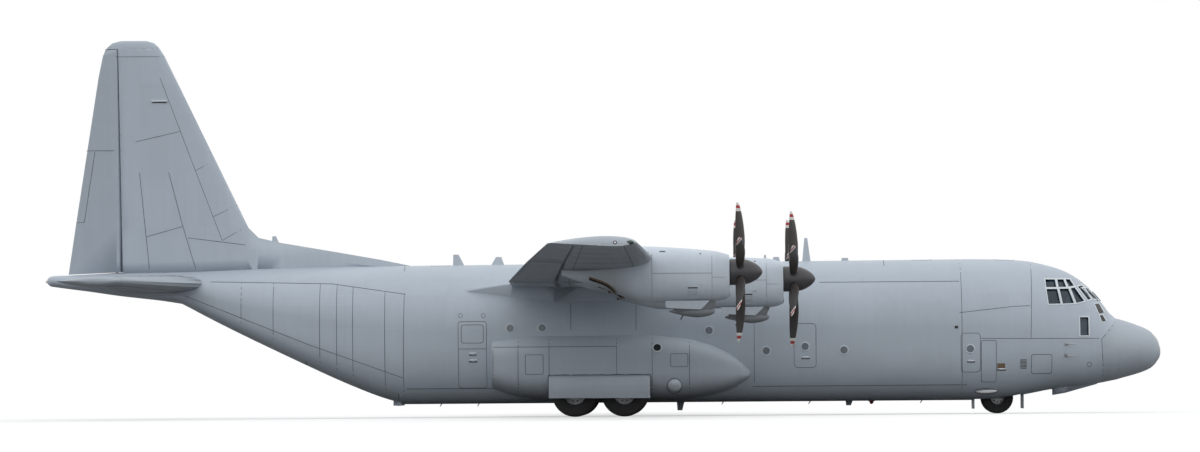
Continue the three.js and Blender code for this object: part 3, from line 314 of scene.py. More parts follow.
PAINTS = {
    "fuselage": grey_paint("fuselage_paint"),
    "nose": grey_paint("nose_paint", panels=(900, 600, 620)),
    "wing": grey_paint("wing_paint", (0.37, 0.41, 0.455), (900, 1500, 4000), ("station", "out")),
    "tail": grey_paint("tail_paint", panels=(900, 600, 1500)),
    "rudder": grey_paint("rudder_paint", (0.37, 0.418, 0.474), (900, 600, 1500)),
    # Dark grey for the oil cooler's parts under each nacelle, which is painted shade
    "cooler": grey_paint("cooler_painted_shade", (0.235, 0.25, 0.27), (700, 600, 500)),
    "pod": grey_paint("pod_paint", (0.385, 0.43, 0.48), (1100, 600, 640)),
    "glass": glass_finish(),
    "blade": blade_finish(),
}
SMOOTH_METAL, CLEAR = {"metallic": 1.0}, {"coat_weight": 1.0}
GLOWING = {"emission_color": (0.08, 0.25, 0.3, 1), "emission_strength": 0.5}
PLAIN_FINISHES = {
    # key: name, colour, roughness, size of the grain, spread of its tones, other settings
    "radome": ("radome_coating", (0.375, 0.42, 0.47), 0.55, 300, 0.08),
    "line": ("seam_sealant", (0.085, 0.095, 0.11), 0.7, 40),
    # Pale paint on rims, frames, handles, the pod's dome and the straps
    "pale_edge": ("pale_edge_paint", (0.52, 0.57, 0.62), 0.5),
    "window_frame": ("window_frame_paint", (0.62, 0.67, 0.7), 0.45, 60, 0.1),
    "lining": ("lining_paint", (0.3, 0.33, 0.3), 0.7, 90),
    "dark": ("dark_trim", (0.03, 0.03, 0.033), 0.5, 30),
    "spinner": ("spinner_paint", (0.056, 0.055, 0.059), 0.42, 200, 0.2),
    "tip_white": ("tip_white", (0.72, 0.71, 0.68), 0.5, 40, 0.1),
    "tip_red": ("tip_red", (0.42, 0.02, 0.025), 0.5, 40, 0.2),
    "steel": ("satin_steel", (0.45, 0.46, 0.47), 0.35, 40, 0.25, {"metallic": 0.85}),
    "white_leg": ("leg_enamel", (0.62, 0.63, 0.62), 0.35, 120, 0.12),
    "hub": ("hub_paint", (0.5, 0.51, 0.52), 0.4, 60, 0.15),
    "rubber": ("tyre_rubber", (0.022, 0.022, 0.023), 0.85, 30, 0.4),
    "exhaust": ("burnt_metal", (0.16, 0.095, 0.055), 0.45, 90, 0.9, {"metallic": 0.8}),
    "brown": ("heat_stained_metal", (0.17, 0.115, 0.07), 0.5, 40, 0.8),
    # Near black laid where hollows would be in shade: painted shade
    "hole": ("painted_hollow_shade", (0.012, 0.012, 0.013), 0.9, 90),
    "lamp": ("lamp_lens", (0.8, 0.82, 0.84), 0.12, 90, 0.05, CLEAR),
    "red_tint": ("red_tinted_lens", (0.05, 0.008, 0.008), 0.1, 60, 0.25, CLEAR),
    "green_tint": ("green_tinted_lens", (0.008, 0.03, 0.018), 0.1, 60, 0.25, CLEAR),
    "red_lens": ("red_lens", (0.4, 0.02, 0.015), 0.12, 60, 0.2, CLEAR),
    "dull_glass": ("porthole_glass", (0.16, 0.185, 0.21), 0.22, 120, 0.3),
    "screen": ("display_glass", (0.02, 0.05, 0.07), 0.15, 40, 0.25, GLOWING),
    "chrome": ("polished_rod", (0.75, 0.75, 0.76), 0.12, 60, 0.06, SMOOTH_METAL),
    "nacelle_pale": ("cooler_wall_paint", (0.55, 0.61, 0.68), 0.45, 120, 0.15),
    "fabric": ("seat_fabric", (0.05, 0.06, 0.05), 0.9, 8, 0.5),
}
for key, (*values, last) in PLAIN_FINISHES.items():
    others = last if isinstance(last, dict) else {}
    PAINTS[key] = plain_finish(*values, *([] if others else [last]), **others)


# Modelling: each helper leaves its piece at rest in its own place, alone and out of edit mode

def alone(*pieces):
    bpy.ops.object.select_all(action="DESELECT")
    for piece in pieces:
        piece.select_set(True)
    bpy.context.view_layer.objects.active = pieces[0]


@contextmanager
def shaping(piece):
    alone(piece)
    bpy.ops.object.mode_set(mode="EDIT")
    bpy.ops.mesh.select_mode(type="FACE")
    bpy.ops.mesh.select_all(action="SELECT")
    yield
    bpy.ops.object.mode_set(mode="OBJECT")


# Selects, in edit mode, the faces that a list marks
def pick(marks):
    bpy.ops.mesh.select_all(action="DESELECT")
    mesh = bpy.context.edit_object.data
    drawing = bmesh.from_edit_mesh(mesh)
    for face, marked in zip(drawing.faces, marks):
        if marked:
            face.select_set(True)
    drawing.select_flush_mode()
    bmesh.update_edit_mesh(mesh)


def settled(name):
    piece = bpy.context.object
    piece.name = piece.data.name = name
    bpy.ops.object.transform_apply(location=True, rotation=True, scale=True)
    return piece


def modified(piece, kind, **settings):
    alone(piece)
    modifier = piece.modifiers.new(kind.lower(), kind)
    for setting, value in settings.items():
        setattr(modifier, setting, value)
    bpy.ops.object.modifier_apply(modifier=modifier.name)
    return piece


def bevelled(piece, width, segments=2):
    return modified(
        piece, "BEVEL", width=width * MM, segments=segments, limit_method="ANGLE",
        angle_limit=radians(30),
    )


def block(name, stations, outs, heights, bevel=0, segments=2):
    a = spot(stations[0], outs[0], heights[0])
    b = spot(stations[1], outs[1], heights[1])
    size = Vector(abs(v) for v in b - a)
    bpy.ops.mesh.primitive_cube_add(size=1, location=(a + b) / 2, scale=size)
    piece = settled(name)
    return bevelled(piece, bevel, segments) if bevel else piece


def bar(name, start, end, radius, tip=None, sides=24):
    run = end - start
    bpy.ops.mesh.primitive_cone_add(
        vertices=sides, radius1=radius * MM, radius2=(radius if tip is None else tip) * MM,
        depth=run.length, location=(start + end) / 2,
        rotation=run.to_track_quat("Z", "Y").to_euler(),
    )
    return settled(name)


def ball(name, middle, size, segments=24):
    bpy.ops.mesh.primitive_uv_sphere_add(
        segments=segments, ring_count=segments // 2, location=middle, scale=Vector(size) * MM
    )
    return settled(name)


# A profile of [radius, along] in millimetres spun about an axis through a place, as one closed skin
def spun(name, profile, middle, axis, steps=48):
    bpy.ops.mesh.primitive_plane_add(size=1)
    piece = settled(name)
    along = Vector(axis).normalized()
    side = along.orthogonal().normalized()
    with shaping(piece):
        bpy.ops.mesh.delete(type="VERT")
        drawing = bmesh.from_edit_mesh(piece.data)
        points = [
            drawing.verts.new(middle + along * (a * MM) + side * (r * MM)) for r, a in profile
        ]
        for first, second in zip(points, points[1:]):
            drawing.edges.new((first, second))
        bmesh.update_edit_mesh(piece.data)
        bpy.ops.mesh.select_all(action="SELECT")
        bpy.ops.mesh.spin(
            steps=steps, angle=2 * pi, center=middle, axis=along, use_auto_merge=True
        )
        bpy.ops.mesh.select_all(action="SELECT")
        bpy.ops.mesh.remove_doubles(threshold=CLOSE)
        bpy.ops.mesh.normals_make_consistent(inside=False)
    return smooth(piece)


def smooth(piece, angle=32):
    alone(piece)
    bpy.ops.object.shade_smooth_by_angle(angle=radians(angle))
    return piece


def joined(name, pieces):
    alone(*pieces)
    if len(pieces) > 1:
        bpy.ops.object.join()
    piece = bpy.context.object
    piece.name = piece.data.name = name
    return piece


def twin(piece, name):
    alone(piece)
    bpy.ops.object.duplicate()
    copy = bpy.context.object
    copy.name = copy.data.name = name
    return copy


# The same piece on the other side of the aircraft
def mirrored(piece, name):
    copy = twin(piece, name)
    copy.data.transform(Matrix.Scale(-1, 4, (0, 1, 0)))
    with shaping(copy):
        bpy.ops.mesh.flip_normals()
    return copy


def painted(piece, *finishes):
    piece.data.materials.clear()
    for finish in finishes:
        piece.data.materials.append(PAINTS[finish])
    return piece


def mount(piece, body="airframe", slot="grey_paint", replaces=None):
    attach(piece, body)
    if replaces:
        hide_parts(replaces)
    return piece


# Skins: a point is a row of station, out and height, and reach() is how far it lies off the skin

class Skin:
    STEP = 4.0

    # Outward normals in the scene's axes, from how fast reach() grows along each of them
    def normals(self, points):
        steps = np.eye(3) * self.STEP
        slopes = np.stack([self.reach(points + a) - self.reach(points - a) for a in steps], axis=1)
        return slopes / np.linalg.norm(slopes, axis=1, keepdims=True) * (-1, 1, 1)


# A body drawn by sections, smooth between them except at its corners
class Form(Skin):
    # columns of a row: station, side, middle height, half width, rise, drop, roundness up, and down
    def __init__(self, rows, corners=()):
        self.rows = np.array(rows, float)
        stations, values = self.rows[:, 0], self.rows[:, 1:]
        slopes = np.diff(values, axis=0) / np.diff(stations)[:, None]
        before, after = slopes[:-1], slopes[1:]
        weight = before * after
        even = np.where(weight > 0, 2 * weight / np.where(weight > 0, before + after, 1), 0)
        sharp = np.isin(stations[1:-1], corners)[:, None]
        self.start = np.vstack([slopes[:1], np.where(sharp, after, even)])
        self.end = np.vstack([np.where(sharp, before, even), slopes[-1:]])

    def at(self, stations, straight=False):
        known = self.rows[:, 0]
        stations = np.clip(stations, known[0], known[-1])
        i = np.clip(np.searchsorted(known, stations, side="right") - 1, 0, len(known) - 2)
        step = (known[i + 1] - known[i])[:, None]
        t = ((stations - known[i]) / step[:, 0])[:, None]
        low, high = self.rows[i, 1:], self.rows[i + 1, 1:]
        if straight:
            return low + (high - low) * t
        return (
            (2 * t**3 - 3 * t**2 + 1) * low
            + (t**3 - 2 * t**2 + t) * step * self.start[i]
            + (3 * t**2 - 2 * t**3) * high
            + (t**3 - t**2) * step * self.end[i]
        )

    # How far out each point lies, as a share of the way from the middle of its section to the skin
    def level(self, points, straight=False):
        side, middle, half, rise, drop, upper, lower = self.at(points[:, 0], straight).T
        up = points[:, 2] >= middle
        power = np.where(up, upper, lower)
        across = np.abs((points[:, 1] - side) / half)
        along = np.abs((points[:, 2] - middle) / np.where(up, rise, drop))
        return (across**power + along**power) ** (1 / power)

    def reach(self, points, straight=False):
        values = self.at(points[:, 0], straight)
        size = np.minimum(values[:, 2], np.minimum(values[:, 3], values[:, 4]))
        away = (self.level(points, straight) - 1) * size
        return np.abs(away) if straight else away

    def pushed(self, points):
        side, middle = self.at(points[:, 0])[:, :2].T
        share = 1 / self.level(points)
        out = side + (points[:, 1] - side) * share
        return np.stack([points[:, 0], out, middle + (points[:, 2] - middle) * share], axis=1)

    # Points moved onto the skin: out to a side, up, or aft from ahead of the nose
    def laid(self, points, side, plane="side"):
        placed = points.copy()
        if plane == "front":
            near, far = np.full(len(points), 1400.0), np.full(len(points), 3600.0)
            for _ in range(30):
                placed[:, 0] = (near + far) / 2
                inside = self.level(placed) < 1
                far = np.where(inside, placed[:, 0], far)
                near = np.where(inside, near, placed[:, 0])
            return placed
        centre, middle, half, rise, drop, upper, lower = self.at(points[:, 0]).T
        if plane == "top":
            power = upper if side > 0 else lower
            share = np.clip(np.abs(points[:, 1] - centre) / half, 0, 0.9995)
            height = (rise if side > 0 else drop) * (1 - share**power) ** (1 / power)
            placed[:, 2] = middle + side * height
            return placed
        up = points[:, 2] >= middle
        power = np.where(up, upper, lower)
        share = np.clip(np.abs(points[:, 2] - middle) / np.where(up, rise, drop), 0, 0.9995)
        placed[:, 1] = centre + side * half * (1 - share**power) ** (1 / power)
        return placed


# Half the thickness of a foil's section, as a share of its whole thickness, along its chord
def section(s):
    return 5 * (0.2969 * s**0.5 - 0.126 * s - 0.3516 * s**2 + 0.2843 * s**3 - 0.1036 * s**4)


# A wing or a fin: a symmetrical or cambered section along a span, from a front to a rear edge
class Foil(Skin):
    # columns of a row: distance along the span, station and place across of the quarter chord,
    # chord, thickness as a share of the chord, and turn in degrees
    def __init__(self, rows, span=1, across=2, camber=0.0, grow=4.0):
        self.rows = np.array(rows, float)
        self.span, self.across, self.camber, self.grow = span, across, camber, grow

    def split(self, points):
        along = np.abs(points[:, self.span])
        known = self.rows[:, 0]
        quarter, middle, chord, ratio, turn = (
            np.interp(along, known, column) for column in self.rows[:, 1:].T
        )
        turn = np.radians(turn)
        aft, up = points[:, 0] - quarter, points[:, self.across] - middle
        share = (aft * np.cos(turn) - up * np.sin(turn)) / chord + 0.25
        rise = aft * np.sin(turn) + up * np.cos(turn)
        s = np.clip(share, 0, 1)
        half = section(s) * ratio * chord + self.grow
        bend = 4 * self.camber * s * (1 - s) * chord
        return share, rise, bend, half, turn, quarter, middle, chord

    def reach(self, points, straight=False):
        share, rise, bend, half, *_ = self.split(points)
        size = np.abs(rise - bend) - half
        return np.where((share < 0.003) | (share > 0.997), 999.0, np.abs(size)) if straight else size

    def placed(self, points, side):
        share, _, bend, half, turn, quarter, middle, chord = self.split(points)
        up = bend + side * half
        aft = (share - 0.25) * chord
        moved = points.copy()
        moved[:, 0] = quarter + aft * np.cos(turn) + up * np.sin(turn)
        moved[:, self.across] = middle - aft * np.sin(turn) + up * np.cos(turn)
        return moved

    def pushed(self, points):
        _, rise, bend, *_ = self.split(points)
        return self.placed(points, np.where(rise > bend, 1.0, -1.0))

    def laid(self, points, side, plane=None):
        moved = points
        for _ in range(3):
            moved = self.placed(moved, side)
            moved[:, 0] = points[:, 0]
        return moved


def measured(mesh):
    corners = np.zeros(len(mesh.vertices) * 3)
    mesh.vertices.foreach_get("co", corners)
    x, y, z = corners.reshape(-1, 3).T / MM
    return np.stack([LENGTH / 2 - x, y, z - BELLY], axis=1)


def set_points(mesh, points):
    station, out, height = points.T
    corners = np.stack([LENGTH / 2 - station, out, height + BELLY], axis=1) * MM
    mesh.vertices.foreach_set("co", corners.ravel())
    mesh.update()


# A form whose sections are as round above as below; rows of station, bottom, top and half width
def even_form(rows, roundness, out=0, level=0):
    return Form(
        [
            (
                station, out, level + (top + bottom) / 2, half, (top - bottom) / 2,
                (top - bottom) / 2, roundness, roundness,
            )
            for station, bottom, top, half in rows
        ]
    )


# A foil from rows of distance along its span, front and rear edge, and half thickness
def edged_foil(rows, place=0, **axes):
    return Foil(
        [
            (along, front + (rear - front) / 4, place, rear - front, 2 * half / (rear - front), 0)
            for along, front, rear, half in rows
        ],
        **axes,
    )


FUSELAGE = [
    # station, belly, roof, half width, height of the widest point, lower roundness
    (0, 1400, 1540, 70, 1470, 2),
    (30, 1290, 1660, 210, 1470, 2),
    (93, 1186, 1839, 370, 1480, 2),
    (186, 1062, 1963, 510, 1490, 2),
    (342, 938, 2120, 680, 1500, 2),
    (652, 810, 2270, 890, 1510, 2),
    (1273, 635, 2480, 1165, 1530, 2.1),
    (1398, 600, 2512, 1210, 1540, 2.1),
    (1605, 560, 2705, 1285, 1560, 2.2),
    (1832, 515, 3019, 1360, 1600, 2.2),
    (2286, 440, 3534, 1500, 1700, 2.3),
    (2578, 400, 3770, 1590, 1760, 2.4),
    (2997, 365, 4006, 1710, 1840, 2.5),
    (3460, 310, 4163, 1830, 1930, 2.6),
    (4099, 190, 4307, 1970, 2040, 2.8),
    (5000, 45, 4370, 2090, 2150, 3),
    (5560, 5, 4385, 2145, 2190, 3),
    (6149, 0, 4390, 2160, 2200, 3),
    (15000, 0, 4355, 2160, 2200, 3),
    (23540, 0, 4317, 2160, 2200, 3),
    (24300, 240, 4312, 2150, 2300, 3.4),
    (25400, 690, 4305, 2100, 2470, 4),
    (26460, 1180, 4290, 1990, 2660, 4.2),
    (27960, 1900, 4265, 1740, 2940, 4.2),
    (29220, 2525, 4235, 1480, 3220, 4),
    (30460, 3180, 4195, 1200, 3520, 3.6),
    (31300, 3310, 4180, 1060, 3660, 3),
    (32400, 3440, 4160, 860, 3760, 2.6),
    (33400, 3590, 4130, 620, 3850, 2.4),
    (34060, 3680, 4100, 420, 3890, 2.2),
    (34560, 3752, 4082, 250, 3917, 2),
    (34650, 3790, 4045, 180, 3917, 2),
    (34700, 3850, 3990, 90, 3918, 2),
    (34720, 3890, 3945, 35, 3918, 2),
]
fuselage_form = Form(
    [
        (station, 0, widest, half, roof - widest, widest - belly, 2, lower)
        for station, belly, roof, half, widest, lower in FUSELAGE
    ],
    corners=(1398, 23540, 30460),
)
POD = [
    # station, bottom, top, outer side
    (12780, 800, 960, 2040),
    (12850, 660, 1100, 2130),
    (12940, 590, 1225, 2215),
    (13034, 530, 1356, 2300),
    (13402, 336, 1664, 2440),
    (13918, 204, 1936, 2570),
    (14676, 111, 2138, 2690),
    (15811, 67, 2249, 2740),
    (18964, 92, 2247, 2740),
    (19885, 173, 2194, 2690),
    (20740, 391, 2103, 2560),
]
pod_form = even_form(POD, 3.4)
ENGINES = {
    # the engine's place out, its spinner base, its hub height and the wing's leading edge there
    "inboard": {"out": 4970, "base": 11764, "hub": 3735, "edge": 15500},
    "outboard": {"out": 10200, "base": 13407, "hub": 3870, "edge": 15672.4},
}


def nacelle_form(engine, side):
    base, edge = engine["base"], engine["edge"]
    rows = [
        # station, bottom and top from the hub line, half width
        (base + 14, -720, 500, 480),
        (base + 120, -790, 540, 540),
        (base + 500, -860, 632, 625),
        (edge - 700, -885, 725, 680),
        (edge, -890, 770, 675),
        (edge + 500, -790, 765, 640),
        (edge + 1050, -640, 660, 560),
        (edge + 1900, -330, 200, 400),
        (edge + 2700, -70, 180, 200),
    ]
    return even_form(rows, 2.4, side * engine["out"], engine["hub"])


QUARTER = 16660
ROOT_HEIGHT = 3900
DIHEDRAL = tan(radians(1.86))
HALF_SPAN = 20205
wing_foil = Foil(
    [
        (0, QUARTER, ROOT_HEIGHT, 4640, 0.18, 6),
        (5600, QUARTER, ROOT_HEIGHT + 5600 * DIHEDRAL, 4640, 0.18, 6),
        (HALF_SPAN, QUARTER, ROOT_HEIGHT + HALF_SPAN * DIHEDRAL, 2450.5, 0.12, 0),
    ],
    camber=0.018,
    grow=0,
)
fin_foil = edged_foil(
    [
        # height, leading edge station, trailing edge station, half thickness
        (3900, 27610, 34090, 350),
        (5578, 28420, 33820, 300),
        (10300, 30696, 33070, 137),
        (10944, 31006, 32935, 115),
        (11210, 31180, 32825, 92),
    ],
    span=2,
    across=1,
)
STAB_HEIGHT = 3790
stab_foil = edged_foil(
    [
        # distance out, leading edge station, trailing edge station, half thickness
        (980, 29720, 33880, 280),
        (8025, 31742, 33575, 130),
    ],
    STAB_HEIGHT,
)


def merged_copy(node, name):
    alone(nodes[node])
    bpy.ops.object.duplicate()
    piece = bpy.context.object
    piece.name = piece.data.name = name
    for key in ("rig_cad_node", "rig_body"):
        if key in piece:
            del piece[key]
    piece.parent = None
    with shaping(piece):
        bpy.ops.mesh.remove_doubles(threshold=CLOSE)
    return piece


# Which faces of a mesh lie on a skin, within a tolerance, and face the way that it does
def on_skin(mesh, form, tolerance):
    points = measured(mesh)
    near = form.reach(points, straight=True) < tolerance
    known = form.rows[:, 0]
    if isinstance(form, Form):
        near &= (points[:, 0] > known[0] - 1) & (points[:, 0] < known[-1] + 1)
    else:
        near &= np.abs(points[:, form.span]) < known[-1] + 1
    normals = form.normals(points)
    faces = []
    for face in mesh.polygons:
        corners = list(face.vertices)
        toward = near[corners].all() and np.dot(normals[corners].mean(axis=0), face.normal)
        faces.append(bool(toward and toward > 0.5))
    return points, np.array(faces)


INSIDE = 34


# A CAD node's shape with its outer faces made fine and pushed out onto the smooth form
def skin(
    node, form, finish, lining=None, cuts=3, tolerance=26, slot="grey_paint", limit=None, fairing=None,
    bulge=None,
):
    piece = merged_copy(node, f"{node}_skin")
    mesh = piece.data
    _, outer = on_skin(mesh, form, tolerance)
    with shaping(piece):
        pick(outer)
        bpy.ops.mesh.subdivide(number_cuts=cuts)
    points, outer = on_skin(mesh, form, tolerance)
    if limit:
        outer &= np.array([abs(face.center[1]) < limit * MM for face in mesh.polygons])
    moved = form.pushed(points)
    if bulge:
        moved[:, 1] += bulge(moved)
    touched = np.zeros(len(points), bool)
    for face in np.flatnonzero(outer):
        touched[list(mesh.polygons[face].vertices)] = True
    set_points(mesh, np.where(touched[:, None], moved, points))
    smooth(piece)
    if isinstance(form, Form):
        normals = form.normals(moved)
        custom = np.zeros((len(mesh.loops), 3))
        for face in np.flatnonzero(outer):
            for loop in mesh.polygons[face].loop_indices:
                custom[loop] = normals[mesh.loops[loop].vertex_index]
        mesh.normals_split_custom_set(custom.tolist())
    painted(piece, finish, lining or finish, fairing or finish)
    middles = np.array([face.center for face in mesh.polygons]) / MM
    middles = np.stack([LENGTH / 2 - middles[:, 0], middles[:, 1], middles[:, 2] - BELLY], axis=1)
    within = form.reach(middles) < -INSIDE
    choice = np.where(outer, 0, np.where(within, 1, 2))
    mesh.polygons.foreach_set("material_index", choice.astype(np.int32))
    return mount(piece, nodes[node]["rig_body"], slot, replaces=node)


# A CAD node's shape with its edges softened, where its form needs no finer mesh
def soft_copy(node, finish, angle=38, slot="grey_paint"):
    piece = smooth(merged_copy(node, f"{node}_skin"), angle)
    painted(piece, finish)
    return mount(piece, nodes[node]["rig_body"], slot, replaces=node)


# Flat grids over lines, each a list of places, joined, laid on a skin and given their thickness
PLANES = {
    # how a place turns into station, out and height, and the plane's normal
    "side": (lambda a, b: (a, 0, b), Vector((0, 1, 0))),
    "top": (lambda a, b: (a, b, 0), Vector((0, 0, 1))),
    "front": (lambda a, b: (0, a, b), Vector((1, 0, 0))),
}
STRIP_STEP = 170
OVERLAP = 0.9


def laid_on(piece, form, side, plane, thick):
    mesh = piece.data
    set_points(mesh, form.laid(measured(mesh), side, plane))
    with shaping(piece):
        bpy.ops.mesh.normals_make_consistent(inside=False)
    points = measured(mesh)
    outward = form.normals(points)
    facing = sum(
        float(np.dot(outward[face.vertices[0]], face.normal)) for face in mesh.polygons
    )
    if facing < 0:
        with shaping(piece):
            bpy.ops.mesh.flip_normals()
    return modified(piece, "SOLIDIFY", thickness=thick * MM, offset=0.6)


def strips(name, lines, form, side=-1, width=15, thick=5, plane="side", step=STRIP_STEP):
    place, normal = PLANES[plane]
    pieces = []
    for line in lines:
        for a, b in zip(line, line[1:]):
            run = hypot(b[0] - a[0], b[1] - a[1])
            cells = max(1, round(run / step))
            bpy.ops.mesh.primitive_grid_add(x_subdivisions=cells, y_subdivisions=1, size=1)
            grid = bpy.context.object
            start, end = spot(*place(*a)), spot(*place(*b))
            along = (end - start).normalized()
            turn = Matrix((along, normal.cross(along), normal)).transposed().to_4x4()
            size = Matrix.Diagonal(((run + width * OVERLAP) * MM, width * MM, 1, 1))
            grid.matrix_world = Matrix.Translation((start + end) / 2) @ turn @ size
            pieces.append(grid)
    piece = joined(name, pieces)
    settled(name)
    return laid_on(piece, form, side, plane, thick)


# A four-cornered patch laid on a skin, with its corners in order round it
def patch(name, corners, form, side=-1, thick=8, cells=(8, 8)):
    bpy.ops.mesh.primitive_grid_add(x_subdivisions=cells[0], y_subdivisions=cells[1], size=1)
    piece = settled(name)
    mesh = piece.data
    a, b, c, d = (np.array([station, 0, height], float) for station, height in corners)
    places = []
    for corner in mesh.vertices:
        u, v = corner.co[0] + 0.5, corner.co[1] + 0.5
        places.append((a * (1 - u) + b * u) * (1 - v) + (d * (1 - u) + c * u) * v)
    set_points(mesh, np.array(places))
    return laid_on(piece, form, side, "side", thick)


def rectangle(near, far, low, high):
    return [(near, low), (far, low), (far, high), (near, high)]


# The outline of a rectangle with round corners, closed
def rounded(near, far, low, high, radius=90, steps=3):
    line = []
    middles = [
        (far - radius, high - radius, 0), (near + radius, high - radius, 90),
        (near + radius, low + radius, 180), (far - radius, low + radius, 270),
    ]
    for station, height, start in middles:
        for i in range(steps + 1):
            angle = radians(start + 90 * i / steps)
            line.append((station + radius * cos(angle), height + radius * sin(angle)))
    return [*line, line[0]]


def circle(station, height, radius, steps=16):
    angles = [2 * pi * i / steps for i in range(steps + 1)]
    return [(station + radius * cos(angle), height + radius * sin(angle)) for angle in angles]


# The point of a form's skin at a station and a height, on a side, and its outward normal
def skin_at(form, station, height, side):
    point = form.laid(np.array([[station, 0.0, height]], float), side)
    return spot(*point[0]), Vector(form.normals(point)[0])


# A tube bent into an oval about a middle, lying across an axis
def oval(name, middle, half_across, half_up, thick, axis="X"):
    turn = {"X": (pi / 2, 0, pi / 2), "Y": (pi / 2, 0, 0)}[axis]
    bpy.ops.curve.primitive_bezier_circle_add(radius=1, location=middle, rotation=turn)
    ring = bpy.context.object
    ring.scale = (half_across * MM, half_up * MM, 1)
    bpy.ops.object.transform_apply(location=True, rotation=True, scale=True)
    ring.data.bevel_depth = thick * MM
    ring.data.bevel_resolution = 3
    ring.data.resolution_u = 16
    bpy.ops.object.convert(target="MESH")
    piece = bpy.context.object
    piece.name = piece.data.name = name
    return smooth(piece, 60)


SLOTS = {
    "steel": ("steel", "chrome", "hub", "white_leg", "exhaust"),
    "glazing": ("lamp", "red_lens", "red_tint", "green_tint", "dull_glass", "screen"),
}
SLOT_OF = {finish: slot for slot, finishes in SLOTS.items() for finish in finishes}


def dress(piece, finish, body="airframe", slot=None, both=False):
    slot = slot or SLOT_OF.get(finish, "grey_paint")
    mount(painted(smooth(piece, 35), finish), body, slot)
    if both:
        mount(mirrored(piece, f"{piece.name}_left"), body, slot)
    return piece


def fuselage():
    for node, finish in [
        ("nose_section", "nose"), ("cargo_section", "fuselage"), ("tail_section", "fuselage"),
        ("cargo_ramp", "fuselage"), ("cargo_door", "fuselage"), ("crew_door", "nose"),
    ]:
        skin(node, fuselage_form, finish, "lining")
    skin("radome", fuselage_form, "radome", cuts=7, slot="radome")
    soft_copy("flight_deck_glazing", "glass", 30, "glazing")


# The wing's tip, rounded down from its upper surface to a lower edge that is the outermost
TIP_FROM = 19875
TIP_RINGS = [
    # share of the way out over the tip, and how thick its CAD ring is as a share of the wing there
    (0, 1), (0.6, 0.82), (0.9, 0.5), (1, 0.16),
]


def drooped_tip(piece):
    mesh = piece.data
    beyond = [abs(face.center[1]) > TIP_FROM * MM for face in mesh.polygons]
    with shaping(piece):
        pick(beyond)
        bpy.ops.mesh.subdivide(number_cuts=2)
    points = measured(mesh)
    share = np.clip((np.abs(points[:, 1]) - TIP_FROM) / (HALF_SPAN - TIP_FROM), 0, 1)
    ring = np.interp(share, *zip(*TIP_RINGS))
    _, rise, bend, half, *_ = wing_foil.split(points)
    level = (rise - bend) / np.maximum(half, 1)
    within = np.clip(level / ring, -1, 1)
    moved = (within + 1) * np.sqrt(1 - share**2) - 1
    points[:, 2] += np.where(share > 0, (moved - level) * half, 0)
    set_points(mesh, points)
    smooth(piece, 42)


def flying_surfaces():
    skin("wing_centre", wing_foil, "wing", tolerance=50)
    for node, finish in [("fin", "tail"), ("rudder", "rudder")]:
        skin(node, fin_foil, finish, tolerance=60)
    for label in SIDES:
        for stem in ["wing_outer", "flap_inboard", "flap_outboard", "aileron"]:
            node = f"{stem}_{label}"
            piece = skin(node, wing_foil, "wing", tolerance=50, limit=TIP_FROM + 5)
            if stem == "wing_outer":
                drooped_tip(piece)
        for stem in ["tailplane", "elevator"]:
            node = f"{stem}_{label}"
            skin(node, stab_foil, "wing", tolerance=30, limit=7640)


CHEEK = {"length": 560, "drop": 560, "spread": 215, "reach": 105}
SOOT_PLACE = {"aft": 1300, "drop": 380, "reach": 950}


# The cheeks of the engine's intake, which swell out beside its mouth and fade aft
def cheeks(engine, side):
    base, out = engine["base"], side * engine["out"]
    middle = engine["hub"] - CHEEK["drop"]

    def swell(points):
        aft = np.clip((points[:, 0] - base) / CHEEK["length"], 0, 1)
        up = (points[:, 2] - middle) / CHEEK["spread"]
        fade = (1 - aft) ** 2 * (1 + 2 * aft)
        return np.sign(points[:, 1] - out) * CHEEK["reach"] * fade * np.exp(-(up**4))

    return swell


def nacelles():
    for name, engine in ENGINES.items():
        for label, side in SIDES.items():
            node = f"nacelle_{name}_{label}"
            soot = (
                engine["edge"] + SOOT_PLACE["aft"], side * engine["out"],
                engine["hub"] - SOOT_PLACE["drop"], SOOT_PLACE["reach"],
            )
            PAINTS[node] = grey_paint(
                f"nacelle_paint_{name}_{label}", NACELLE_GREY, (700, 600, 500), soot=soot,
            )
            # Faces off the nacelle's form, such as the cooler's body below it, take the cooler's dark
            # grey, which is painted shade
            skin(
                node, nacelle_form(engine, side), node, cuts=4, fairing="cooler",
                bulge=cheeks(engine, side),
            )


def pods():
    for label in SIDES:
        skin(f"gear_pod_{label}", pod_form, "pod")
        soft_copy(f"gear_pod_door_{label}", "pod")


# Seams, doors and fittings of the fuselage; the starboard ones have no copy to port

SEAMS = [
    [(12653, 602), (12653, 2536)],
    [(6247, 60), (6247, 4250)],
    [(18305, 2270), (18305, 3080)],
    [(16290, 2270), (16290, 3080)],
    [(10617, 3680), (6307, 3680)],
    [(23400, 480), (13200, 480)],
    [(12700, 480), (6100, 480)],
    [(4046, 4189), (4118, 1889)],
    [(4940, 1899), (1982, 1880)],
    [(1420, 2400), (1907, 1860), (1840, 580)],
    [(6311, 2703), (4628, 2886), (4132, 2905)],
    [(23457, 3422), (23498, 90)],
    [(24057, 3470), (24057, 470)],
    [(25049, 3650), (25049, 900)],
    [(25548, 3740), (25548, 1100)],
    [(26073, 3760), (26073, 1320)],
    [(27524, 3790), (27524, 2060)],
    [(28530, 3815), (28530, 2560)],
    [(29502, 3847), (25714, 3751), (23429, 3409)],
    [(23500, 820), (26440, 1880), (30300, 3420)],
]
STARBOARD_SEAMS = [
    [(5653, 1903), (4940, 1899)],
    rounded(5686, 6280, 868, 2070, 110),
    rounded(5196, 5659, 560, 1838, 50),
    rounded(3469, 4107, 809, 1397, 60),
]
DOOR_SEAMS = [
    rounded(20913, 21786, 492, 2544, 80),
    [(21786, 1700), (20913, 1700)],
    rounded(21010, 21690, 1880, 2440, 70),
    rounded(10748, 11426, 1048, 2404, 110),
]
